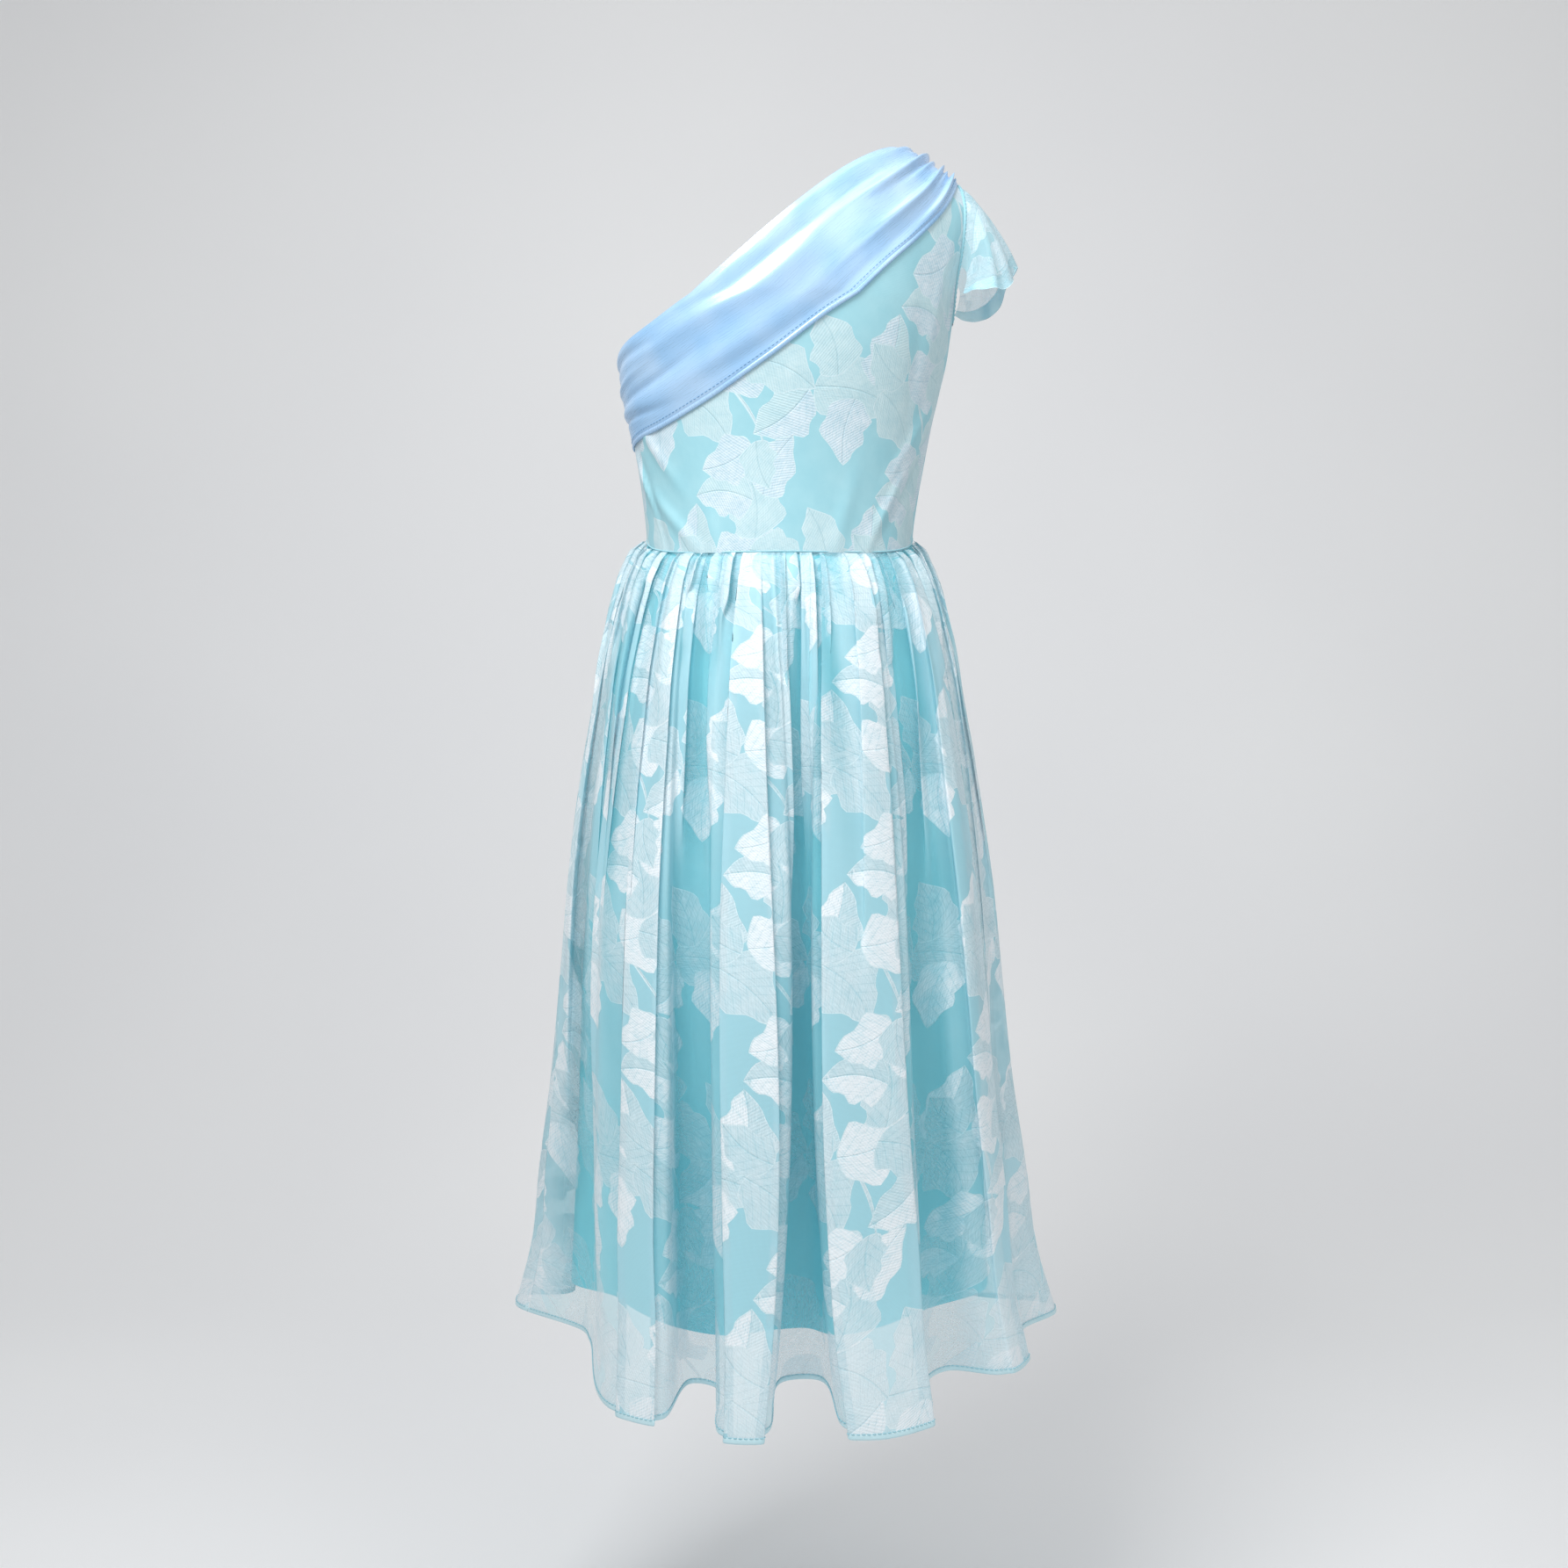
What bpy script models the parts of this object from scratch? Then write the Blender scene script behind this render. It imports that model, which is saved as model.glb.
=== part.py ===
"""One-shoulder midi dress: satin band, leaf organza over a plain lining, gathered skirt.

The dress is drafted in millimetres in its maker's frame: X to the wearer's left, Y to the back,
Z up from the waist seam at the side. An angle runs round the body from the left side seam (0)
by the centre back (90) and the right side seam (180) to the centre front (270).
The finished part has its origin in the middle of the shoulder seam, in metres.
"""
import bmesh
import bpy
import numpy as np

DRESS = "one_shoulder_dress"
METRES = 0.001
SHOULDER_SEAM_MIDDLE = np.array((-134.0, 0.0, 344.0))

SEAM_GAP = 0.3
BODICE_WALL = 1.8
BAND_WALL = 1.6
ORGANZA_WALL = 1.2
LINING_WALL = 1.0

SKIRT_LENGTH = 726.0
LINING_LENGTH = 688.0
SKIRT_CENTRE = 4.0
WAIST_DIP_BACK = 25.0
WAIST_DIP_FRONT = 6.0
GATHERS_ROUND = 50
GATHER_HEIGHT = 3.2
PUFFS_ROUND = 27
PUFF_HEIGHT = 5.0
# How the gathers and puffs grow and fade: share of the way down, and share of their height.
FADE_COLUMNS = ("down", "height")
GATHER_FADE = ((0.0, 0.35), (0.02, 1.0), (0.07, 0.9), (0.17, 0.45), (0.32, 0.12), (0.5, 0.0), (1.0, 0.0))
PUFF_FADE = ((0.0, 0.0), (0.05, 0.4), (0.17, 1.0), (0.35, 0.6), (0.62, 0.15), (1.0, 0.0))
# Slow swings that make the gathers uneven: swings round, size and start.
SWING_COLUMNS = ("round", "size", "start")
GATHER_SWINGS = ((7, 1.1, 0.0), (13, 0.8, 1.0))
PUFF_SWINGS = ((4, 1.4, 0.5),)
GATHER_HEIGHT_SWING = 0.25

# The figure's sections: height, half width, shift of the middle, depth behind and in front.
FIGURE_COLUMNS = ("height", "half_width", "middle", "back", "front")
FIGURE = (
    (-30.0, 123.5, 4.0, 92.0, 92.0),
    (0.0, 123.5, 4.0, 92.0, 93.0),
    (38.0, 128.0, 3.5, 93.0, 98.0),
    (71.0, 133.5, 3.0, 96.0, 106.0),
    (104.0, 139.5, 2.5, 101.0, 118.0),
    (138.0, 147.0, 2.0, 107.0, 126.0),
    (164.0, 152.5, 1.5, 111.0, 124.0),
    (192.0, 156.0, 0.8, 114.0, 116.0),
    (211.0, 158.5, 0.0, 115.0, 110.0),
    (240.0, 170.0, 0.0, 116.0, 104.0),
    (268.0, 178.0, 0.0, 116.0, 100.0),
    (300.0, 180.0, 0.0, 115.0, 97.0),
    (332.0, 178.0, 0.0, 113.0, 95.0),
    (365.0, 170.0, 0.0, 110.0, 93.0),
)
# The shoulder rounds over to nothing at a line that falls from the neck to the arm.
SHOULDER_SLOPE = 0.58
ROUNDING_START = 200.0

# Edges of the bodice as angle and height, from the left side to the shoulder.
NECKLINE = ((0.0, 163.0), (21.0, 171.0), (40.0, 180.5), (61.0, 202.5), (83.0, 232.0), (103.5, 270.0),
            (121.0, 313.0), (131.0, 356.8))
BAND_FOOT = ((0.0, 84.0), (20.0, 87.0), (42.0, 93.0), (62.0, 109.0), (85.0, 142.0), (106.0, 184.0),
             (124.0, 217.0), (134.0, 236.0), (143.5, 260.0), (150.0, 293.0), (153.0, 329.0))
RIGHT_EDGE = ((180.0, 0.0), (180.0, 100.0), (180.0, 190.0), (180.0, 195.0), (178.5, 201.0),
              (174.0, 208.0), (167.0, 222.0), (163.0, 240.0), (159.0, 265.0), (155.5, 295.0), (153.0, 329.0))
MM_PER_DEGREE = 2.4

# Folds of the band where it is drawn up at the shoulder: place across it, and reach along it.
BAND_FOLDS = ((0.10, 0.20), (0.27, 0.32), (0.46, 0.24), (0.64, 0.36), (0.82, 0.22))
BAND_FOLD_HEIGHT = 3.0
BAND_FOLD_WIDTH = 0.055

# Outline of the hanging cloth: depth below the waist, half width, reach behind and in front.
SKIRT_COLUMNS = ("drop", "half_width", "back", "front")
SKIRT = (
    (0.0, 123.5, 92.0, 92.5),
    (8.0, 130.5, 98.0, 99.0),
    (20.0, 136.5, 105.0, 105.0),
    (50.0, 146.5, 116.0, 115.0),
    (81.0, 154.0, 124.0, 122.0),
    (112.0, 161.0, 131.0, 128.0),
    (159.0, 169.5, 139.0, 135.0),
    (206.0, 178.5, 147.0, 142.0),
    (300.0, 193.0, 166.0, 160.0),
    (393.0, 204.0, 186.0, 179.0),
    (501.0, 216.5, 208.0, 201.0),
    (590.0, 230.0, 226.0, 219.0),
    (659.0, 239.0, 241.0, 234.0),
    (726.0, 258.0, 256.0, 248.0),
)
LINING = (
    (0.0, 121.5, 90.0, 90.5),
    (20.0, 129.5, 96.5, 96.5),
    (50.0, 139.5, 106.0, 105.0),
    (112.0, 153.5, 117.0, 115.0),
    (206.0, 168.5, 126.0, 123.0),
    (350.0, 181.0, 139.0, 136.0),
    (560.0, 188.0, 157.0, 152.0),
    (688.0, 193.0, 166.0, 160.0),
)
MIDDLE_DROP = 393.0
KNOTS_ROUND_AGAIN = 6

# A row for each ridge and each hollow of the organza: its angle, half angle and radius half way
# down and at the hem, and how much lower its hem hangs.
FOLD_COLUMNS = ("name", "mid_angle", "mid_half", "mid_radius", "hem_angle", "hem_half", "hem_radius",
                "hem_drop")
SKIRT_FOLDS = (
    ("side_left", -5.0, 6.0, 204.0, -12.0, 3.0, 259.0, 0.0),
    ("hollow_left", 22.0, 5.0, 186.0, 17.0, 4.0, 184.0, 0.0),
    ("ridge_a", 55.0, 7.0, 204.0, 64.0, 4.5, 257.0, 4.0),
    ("hollow_b", 65.0, 4.0, 170.0, 69.5, 3.5, 184.0, 0.0),
    ("ridge_c", 83.0, 8.5, 191.0, 83.5, 4.0, 257.0, 10.0),
    ("hollow_d", 96.8, 3.0, 148.0, 96.5, 5.0, 163.0, 0.0),
    ("ridge_e", 111.0, 12.0, 194.0, 110.0, 8.0, 260.0, 7.0),
    ("hollow_f", 134.0, 3.0, 176.0, 133.5, 3.5, 201.0, 0.0),
    ("ridge_f", 147.0, 6.0, 201.0, 149.0, 7.0, 240.0, 0.0),
    ("hollow_g", 164.0, 4.0, 197.0, 169.5, 2.5, 228.0, 0.0),
    ("side_right", 182.0, 6.0, 206.0, 186.0, 3.0, 263.0, 0.0),
    ("front_hollow_1", 203.0, 4.0, 182.0, 204.0, 4.0, 200.0, 0.0),
    ("front_ridge_1", 218.0, 6.0, 198.0, 217.0, 4.5, 251.0, 3.0),
    ("front_hollow_2", 234.0, 4.0, 164.0, 233.0, 4.0, 182.0, 0.0),
    ("front_ridge_2", 248.0, 7.0, 188.0, 247.0, 5.0, 247.0, 5.0),
    ("front_hollow_3", 263.0, 4.0, 152.0, 262.0, 4.5, 172.0, 0.0),
    ("front_ridge_3", 277.0, 6.0, 186.0, 276.0, 5.0, 250.0, 6.0),
    ("front_hollow_4", 292.0, 4.0, 158.0, 291.0, 4.0, 178.0, 0.0),
    ("front_ridge_4", 306.0, 6.0, 190.0, 306.0, 5.0, 248.0, 4.0),
    ("front_hollow_5", 320.0, 3.5, 178.0, 320.0, 3.5, 194.0, 0.0),
    ("front_ridge_5", 331.0, 4.0, 199.0, 331.0, 3.5, 243.0, 0.0),
    ("front_hollow_6", 342.0, 3.0, 196.0, 339.0, 2.0, 222.0, 0.0),
)
LINING_FOLDS = (
    ("left", -2.0, 9.0, 181.0, -2.0, 8.0, 191.0, 0.0),
    ("hollow_l", 28.0, 7.0, 156.0, 28.0, 6.0, 157.0, 0.0),
    ("ridge_b", 68.0, 9.0, 144.0, 68.0, 7.0, 165.0, 0.0),
    ("hollow_d", 96.0, 5.0, 131.0, 95.0, 5.0, 144.0, 0.0),
    ("ridge_e", 114.0, 9.0, 145.0, 114.0, 9.0, 162.0, 0.0),
    ("hollow_f", 138.0, 6.0, 152.0, 138.0, 6.0, 158.0, 0.0),
    ("right", 178.0, 9.0, 182.0, 178.0, 8.0, 191.0, 0.0),
    ("front_hollow_1", 213.0, 6.0, 156.0, 213.0, 6.0, 158.0, 0.0),
    ("front_ridge_1", 246.0, 8.0, 142.0, 246.0, 8.0, 158.0, 0.0),
    ("front_hollow_2", 266.0, 5.0, 130.0, 266.0, 5.0, 143.0, 0.0),
    ("front_ridge_2", 290.0, 8.0, 143.0, 290.0, 8.0, 158.0, 0.0),
    ("front_hollow_3", 324.0, 7.0, 155.0, 324.0, 7.0, 158.0, 0.0),
)

# The sleeve's hem from the back of the armhole over the arm to the front: share of the armhole,
# then across, behind and above the waist.
SLEEVE_COLUMNS = ("share", "across", "behind", "height")
SLEEVE_HEM = (
    (0.0, -163.0, 36.0, 219.0),
    (0.10, -173.0, 50.0, 218.0),
    (0.22, -189.0, 55.0, 218.0),
    (0.34, -204.0, 42.0, 223.0),
    (0.44, -215.0, 20.0, 243.0),
    (0.50, -221.0, 0.0, 256.0),
    (0.56, -215.0, -20.0, 245.0),
    (0.66, -204.0, -40.0, 225.0),
    (0.78, -189.0, -52.0, 219.0),
    (0.90, -173.0, -47.0, 218.0),
    (1.0, -163.0, -34.0, 219.0),
)
SLEEVE_FOOT = 230.0
# The sleeve leaves the armhole outwards, a little behind or in front, and down over the arm.
SLEEVE_LEAD = 22.0
SLEEVE_LEAD_OUT = 0.93
SLEEVE_LEAD_ROUND = 0.12
SLEEVE_LEAD_DOWN = 0.35


def smooth(knots, values, at):
    """Values of a smooth curve through a list of knots, at each place in at."""
    knots = np.asarray(knots, float)
    values = np.asarray(values, float)
    at = np.clip(np.asarray(at, float), knots[0], knots[-1])
    slopes = np.gradient(values, knots, axis=0)
    left = np.clip(np.searchsorted(knots, at, side="right") - 1, 0, len(knots) - 2)
    step = knots[left + 1] - knots[left]
    share = (at - knots[left]) / step
    if values.ndim == 2:
        share = share[..., None]
        step = step[..., None]
    rise = 3 * share**2 - 2 * share**3
    run_in = share - 2 * share**2 + share**3
    run_out = share**3 - share**2
    ends = values[left] * (1 - rise) + values[left + 1] * rise
    return ends + step * (slopes[left] * run_in + slopes[left + 1] * run_out)


def read(table, columns, name, at):
    """One named column of a table, read along its first column."""
    rows = np.asarray(table, float)
    return smooth(rows[:, 0], rows[:, columns.index(name)], at)


def along(edge, share):
    """Angle and height at a share of an edge's length."""
    points = np.asarray(edge, float)
    steps = np.diff(points, axis=0) * (MM_PER_DEGREE, 1.0)
    lengths = np.concatenate(([0.0], np.cumsum(np.hypot(*steps.T))))
    return smooth(lengths / lengths[-1], points, share)


def across_at(angle, height):
    """How far across the figure's surface lies."""
    half_width = read(FIGURE, FIGURE_COLUMNS, "half_width", height)
    return read(FIGURE, FIGURE_COLUMNS, "middle", height) + half_width * np.cos(np.radians(angle))


def shoulder_height(angle, height):
    """Height of the sloping shoulder line above a point of the figure."""
    return SHOULDER_SEAM_MIDDLE[2] + SHOULDER_SLOPE * (across_at(angle, height) - SHOULDER_SEAM_MIDDLE[0])


def waist_dip(angle, side):
    """How far the waist seam sinks below its height at the sides."""
    deepest = WAIST_DIP_BACK if side > 0 else WAIST_DIP_FRONT
    return deepest * (1 - np.abs((angle - 90.0) / 90.0)**3)


def figure(angle, height, side):
    """A point of the figure's surface; side is 1 behind and -1 in front.

    Above the rounding's start, height runs evenly over the curve to the shoulder line.
    """
    turn = np.radians(angle)
    across = across_at(angle, height)
    depth = read(FIGURE, FIGURE_COLUMNS, "back" if side > 0 else "front", height)
    span = shoulder_height(angle, height) - ROUNDING_START
    over = np.clip((height - ROUNDING_START) / span, 0.0, 1.3) * np.pi / 2
    up = np.where(height > ROUNDING_START, ROUNDING_START + span * np.sin(over), height)
    depth = depth * np.sin(turn) * np.cos(over)
    return np.stack((across, side * (depth + SEAM_GAP / 2), up), axis=-1)


def bodice_plan(u, v, side):
    """Angle and height on a bodice panel: v is 0 at the waist, 1 at the band's foot, 2 at the neck."""
    waist_angle = 180.0 * u
    waist = np.stack((waist_angle, -waist_dip(waist_angle, side) + SEAM_GAP / 2), axis=-1)
    foot = along(BAND_FOOT, u)
    neck = along(NECKLINE, u)
    low = np.clip(v, 0.0, 1.0)[..., None]
    high = np.clip(v - 1.0, 0.0, 1.0)[..., None]
    straight = np.array(RIGHT_EDGE[0]) * (1 - low) + np.array(RIGHT_EDGE[-1]) * low
    bow = along(RIGHT_EDGE, low[..., 0]) - straight
    body = waist * (1 - low) + foot * low + bow * (u**2)[..., None]
    body[..., 0] = np.minimum(body[..., 0], 180.0)
    band = foot * (1 - high) + neck * high
    end = np.array(BAND_FOOT[-1]) * (1 - high) + np.array(NECKLINE[-1]) * high
    band[..., 1] += (shoulder_height(end[..., 0], end[..., 1]) - end[..., 1]) * u**6
    return np.where(v[..., None] > 1.0, band, body)


def bodice(side):
    """The outer face of a bodice panel as a function of its two shares."""
    def surface(u, v):
        plan = bodice_plan(u, v, side)
        return figure(plan[..., 0], plan[..., 1], side)
    return surface


def normals(surface, u, v, facing):
    """Unit normals of a surface by differences; facing is the sign that points them out."""
    step = 0.003
    along_u = surface(u + step, v) - surface(u - step, v)
    along_v = surface(u, v + step) - surface(u, v - step)
    across = facing * np.cross(along_u, along_v)
    return across / np.maximum(np.linalg.norm(across, axis=-1, keepdims=True), 1e-9)


def band_rise(u, v):
    """Height of the folds drawn up at the shoulder end of the band."""
    place = v - 1.0
    height = np.zeros_like(u)
    for middle, reach in BAND_FOLDS:
        fade = np.clip((u - 1.0 + reach) / reach, 0.0, 1.0)**1.5
        lean = middle + 0.25 * (middle - 0.5) * (1.0 - u) / reach
        height += fade * np.exp(-((place - lean) / BAND_FOLD_WIDTH)**2)
    return BAND_FOLD_HEIGHT * height


def ring(table, columns_table, angle_share, down, length):
    """Points of a hanging cloth: share round from the left seam, share down from the waist."""
    rows = np.array([row[1:] for row in table], float)
    names = FOLD_COLUMNS[1:]
    column = {name: rows[:, place] for place, name in enumerate(names)}
    knots = {}
    for level in ("mid", "hem"):
        angle = column[level + "_angle"]
        half = column[level + "_half"]
        knots[level] = np.stack((angle - half, angle + half), axis=-1).ravel()
        knots[level + "_radius"] = np.repeat(column[level + "_radius"], 2)
    drop = np.repeat(column["hem_drop"], 2)
    hem = np.stack((knots["hem_radius"] * np.cos(np.radians(knots["hem"])),
                    knots["hem_radius"] * np.sin(np.radians(knots["hem"]))), axis=-1)
    closed = np.vstack((hem, hem[:1]))
    steps = np.hypot(*np.diff(closed, axis=0).T)
    share = np.concatenate(([0.0], np.cumsum(steps)))[:-1] / steps.sum()
    seam_share = np.interp(0.0, knots["hem"], share)
    share = share - seam_share
    even = share * 360.0
    waist_angle = 0.5 * (even + knots["mid"])
    places = 0.5 * (share + waist_angle / 360.0)

    def wrapped(values, turn=0.0):
        values = np.asarray(values, float)
        return np.concatenate((values[-KNOTS_ROUND_AGAIN:] - turn, values, values[:KNOTS_ROUND_AGAIN] + turn))

    places = wrapped(places, 1.0)
    depths = read_levels(columns_table, down * length)
    at_waist = np.radians(smooth(places, wrapped(waist_angle, 360.0), angle_share))
    levels = [np.stack((np.cos(at_waist), np.sin(at_waist)), axis=-1)]
    for level, at in (("mid", MIDDLE_DROP), ("hem", length)):
        angle = np.radians(wrapped(knots[level], 360.0))
        radius = wrapped(knots[level + "_radius"])
        outline = read_levels(columns_table, np.full(angle.shape, at))
        behind = np.where(np.sin(angle) > 0, outline["back"], outline["front"])
        shape = np.stack((radius * np.cos(angle) / outline["half_width"],
                          radius * np.sin(angle) / behind), axis=-1)
        levels.append(smooth(places, shape, angle_share))
    shape = between_levels(levels, (0.0, MIDDLE_DROP / length, 1.0), down)
    behind = np.where(shape[..., 1] > 0, depths["back"], depths["front"])
    extra = smooth(places, wrapped(drop), angle_share) * down**2
    angle = np.degrees(at_waist)
    side = np.where(np.sin(at_waist) > 0, 1.0, -1.0)
    dip = np.where(side > 0, waist_dip(np.mod(angle, 360.0), 1),
                   waist_dip(360.0 - np.mod(angle, 360.0), -1))
    height = -dip * (1 - down) - down * length - extra - SEAM_GAP / 2
    across = SKIRT_CENTRE + shape[..., 0] * depths["half_width"]
    return across, shape[..., 1] * behind, height, at_waist


def read_levels(table, drop):
    """Every column of an outline table at each drop below the waist."""
    return {name: read(table, SKIRT_COLUMNS, name, drop) for name in SKIRT_COLUMNS[1:]}


def between_levels(levels, shares, down):
    """Blend three rings of shapes down the cloth along a smooth curve."""
    first, second, third = levels
    middle = shares[1]
    down = down[..., None]
    lagrange_first = (down - middle) * (down - 1.0) / middle
    lagrange_second = down * (1.0 - down) / (middle * (1.0 - middle))
    lagrange_third = down * (down - middle) / (1.0 - middle)
    return first * lagrange_first + second * lagrange_second + third * lagrange_third


def swing(table, angle):
    """Sum of slow swings round the waist."""
    return sum(size * np.sin(round_ * angle + start) for round_, size, start in table)


def gathers(angle, down):
    """Outward height of the waist gathers and of the wider puffs that they run into."""
    wave = 0.5 + 0.5 * np.cos(GATHERS_ROUND * angle + swing(GATHER_SWINGS, angle))
    uneven = 1 - GATHER_HEIGHT_SWING + GATHER_HEIGHT_SWING * np.sin(11 * angle + 0.7) * np.sin(5 * angle)
    fine = read(GATHER_FADE, FADE_COLUMNS, "height", down)
    puff = 0.5 + 0.5 * np.cos(PUFFS_ROUND * angle + swing(PUFF_SWINGS, angle))
    wide = read(PUFF_FADE, FADE_COLUMNS, "height", down)
    return GATHER_HEIGHT * fine * wave * uneven + PUFF_HEIGHT * wide * puff


def hanging(folds, outline, length, gathered):
    """The outer face of a hanging cloth; u goes once round from the left seam, v down to the hem."""
    def surface(u, v):
        across, behind, height, angle = ring(folds, outline, u, v, length)
        if gathered:
            out = gathers(angle, v)
            across = across + out * np.cos(angle)
            behind = behind + out * np.sin(angle)
        return np.stack((across, behind, height), axis=-1)
    return surface


def sleeve(u, v):
    """The outer face of the flutter sleeve: u round the armhole from behind, v down to the hem."""
    side = np.where(u <= 0.5, 1.0, -1.0)
    edge = np.asarray(RIGHT_EDGE, float)
    foot = np.interp(SLEEVE_FOOT, edge[:, 1], np.arange(len(edge)))
    top = len(edge) - 1.0
    place = foot + (top - foot) * (1 - np.abs(2 * u - 1.0))
    plan = smooth(np.arange(len(edge)), edge, place)
    behind = figure(plan[..., 0], plan[..., 1], 1)
    front = figure(plan[..., 0], plan[..., 1], -1)
    start = np.where(side[..., None] > 0, behind, front)
    lead = np.stack((-SLEEVE_LEAD_OUT * np.ones_like(u), SLEEVE_LEAD_ROUND * np.sin(np.pi * (1 - 2 * u)),
                     -SLEEVE_LEAD_DOWN * np.sin(np.pi * u)), axis=-1)
    start = start + lead * 3 * SEAM_GAP
    end = np.stack([read(SLEEVE_HEM, SLEEVE_COLUMNS, name, u) for name in SLEEVE_COLUMNS[1:]], axis=-1)
    reach = np.minimum(SLEEVE_LEAD, 0.45 * np.linalg.norm(end - start, axis=-1))[..., None]
    guide = start + lead * reach
    v = v[..., None]
    return start * (1 - v)**2 + guide * 2 * v * (1 - v) + end * v**2


def cloth(name, material, surface, us, vs, wall, facing, rise=None, lift=0.0, square=False):
    """A closed wall of cloth: its outer face, its inner face and the edges that join them.

    The two faces differ in form where the cloth swells, so the wall is a loft and not one thickened face.
    Square side edges meet the same edge of the other half without leaning into it.
    """
    u, v = np.meshgrid(us, vs)
    face = surface(u, v)
    out = normals(surface, u, v, facing)
    if square:
        out[:, (0, -1), 1] = 0.0
        out /= np.linalg.norm(out, axis=-1, keepdims=True)
    raised = lift + (rise(u, v) if rise else 0.0)
    outer = face + out * np.asarray(raised + wall if lift else raised)[..., None]
    inner = face + out * (lift if lift else -wall)
    rows, columns = u.shape
    mesh = bmesh.new()
    grids = []
    for points in (outer, inner):
        placed = (points - SHOULDER_SEAM_MIDDLE) * METRES
        grids.append([[mesh.verts.new(placed[r, c]) for c in range(columns)] for r in range(rows)])
    top, under = grids
    for r in range(rows - 1):
        for c in range(columns - 1):
            mesh.faces.new((top[r][c], top[r][c + 1], top[r + 1][c + 1]))
            mesh.faces.new((top[r][c], top[r + 1][c + 1], top[r + 1][c]))
            mesh.faces.new((under[r][c], under[r + 1][c + 1], under[r][c + 1]))
            mesh.faces.new((under[r][c], under[r + 1][c], under[r + 1][c + 1]))
    border = [(0, c) for c in range(columns)]
    border += [(r, columns - 1) for r in range(1, rows)]
    border += [(rows - 1, c) for c in range(columns - 2, -1, -1)]
    border += [(r, 0) for r in range(rows - 2, 0, -1)]
    for (r, c), (next_r, next_c) in zip(border, border[1:] + border[:1]):
        mesh.faces.new((top[next_r][next_c], top[r][c], under[r][c], under[next_r][next_c]))
    bmesh.ops.recalc_face_normals(mesh, faces=mesh.faces)
    data = bpy.data.meshes.new(name)
    mesh.to_mesh(data)
    mesh.free()
    data.shade_smooth()
    data.materials.append(material)
    piece = bpy.data.objects.new(name, data)
    bpy.data.collections[DRESS].objects.link(piece)
    return piece


def finish(name, colour, roughness, alpha=1.0):
    """A plain cloth material."""
    material = bpy.data.materials.new(name)
    material.use_nodes = True
    shader = material.node_tree.nodes["Principled BSDF"]
    shader.inputs["Base Color"].default_value = (*colour, 1.0)
    shader.inputs["Roughness"].default_value = roughness
    shader.inputs["Metallic"].default_value = 0.0
    shader.inputs["Alpha"].default_value = alpha
    return material


def clear_scene():
    """Start from an empty scene with the dress's own collection."""
    for thing in list(bpy.data.objects):
        bpy.data.objects.remove(thing)
    bpy.context.scene.collection.children.link(bpy.data.collections.new(DRESS))


def spaced(count, crowd=1.0):
    """Shares from 0 to 1, closer together near 1 as crowd grows."""
    return 1 - (1 - np.linspace(0.0, 1.0, count))**crowd


def build_bodice_and_band():
    """Both bodice panels, and the satin band laid on the upper part of each."""
    columns = spaced(25, 1.35)
    body_rows = np.linspace(0.0, 1.0, 9)
    band_rows = np.linspace(1.0, 2.0, 11)
    for name, side in (("back", 1), ("front", -1)):
        surface = bodice(side)
        rows = np.concatenate((body_rows[:-1], band_rows))
        cloth("bodice_" + name, finish("leaf_organza_on_lining_" + name, (0.62, 0.83, 0.88), 0.5),
              surface, columns, rows, BODICE_WALL, side, square=True)
        cloth("band_" + name, finish("blue_satin_" + name, (0.42, 0.68, 0.85), 0.3),
              surface, columns, band_rows, BAND_WALL, side, band_rise, SEAM_GAP, square=True)


def build_skirts():
    """The gathered organza skirt and the lining skirt, each in a back and a front half."""
    down = np.array((0.0, 0.012, 0.04, 0.09, 0.18, 0.32, 0.52, 0.76, 1.0))
    lining_down = np.array((0.0, 0.03, 0.09, 0.2, 0.4, 0.7, 1.0))
    organza = hanging(SKIRT_FOLDS, SKIRT, SKIRT_LENGTH, True)
    plain = hanging(LINING_FOLDS, LINING, LINING_LENGTH, False)
    split = seam_shares(organza)
    lining_split = seam_shares(plain)
    for name, half, columns in (("back", 0, 97), ("front", 1, 81)):
        cloth("skirt_" + name, finish("leaf_organza_" + name, (0.75, 0.88, 0.92), 0.5, 0.7),
              parted(organza, split, half), np.linspace(0, 1, columns), down, ORGANZA_WALL, -1)
        cloth("lining_" + name, finish("aqua_lining_" + name, (0.35, 0.72, 0.78), 0.55),
              parted(plain, lining_split, half), np.linspace(0, 1, 29), lining_down, LINING_WALL, -1)


def seam_shares(surface):
    """Share round at which each level crosses the right side seam."""
    shares = np.linspace(0.3, 0.7, 801)
    return float(shares[np.argmin(np.abs(surface(shares, np.zeros_like(shares))[:, 1]))])


def parted(surface, split, half):
    """One half of a hanging cloth, its side edges drawn back by half the seam's gap."""
    def panel(u, v):
        low, high = ((0.0, split), (split, 1.0))[half]
        width = np.linalg.norm(surface(np.full_like(v, high - 0.01), v)
                               - surface(np.full_like(v, high), v), axis=-1) / 0.01
        back_off = 0.6 * SEAM_GAP / np.maximum(width, 1.0)
        return surface(low + back_off + (high - low - 2 * back_off) * u, v)
    return panel


def build():
    clear_scene()
    build_bodice_and_band()
    build_skirts()
    cloth("sleeve", finish("leaf_organza_sleeve", (0.75, 0.88, 0.92), 0.5, 0.7), sleeve,
          np.linspace(0.0, 1.0, 23), np.linspace(0.0, 1.0, 8), LINING_WALL, 1)


build()
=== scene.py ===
"""The one-shoulder dress as it looks: leaf organza over aqua lining, satin band, gathered skirt.

Sizes are in millimetres in the maker's frame of the solids (X to the wearer's left, Y to the back,
Z up from the waist seam at the side) and turn into metres from the shoulder seam as meshes are made.
"""
import math

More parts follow.
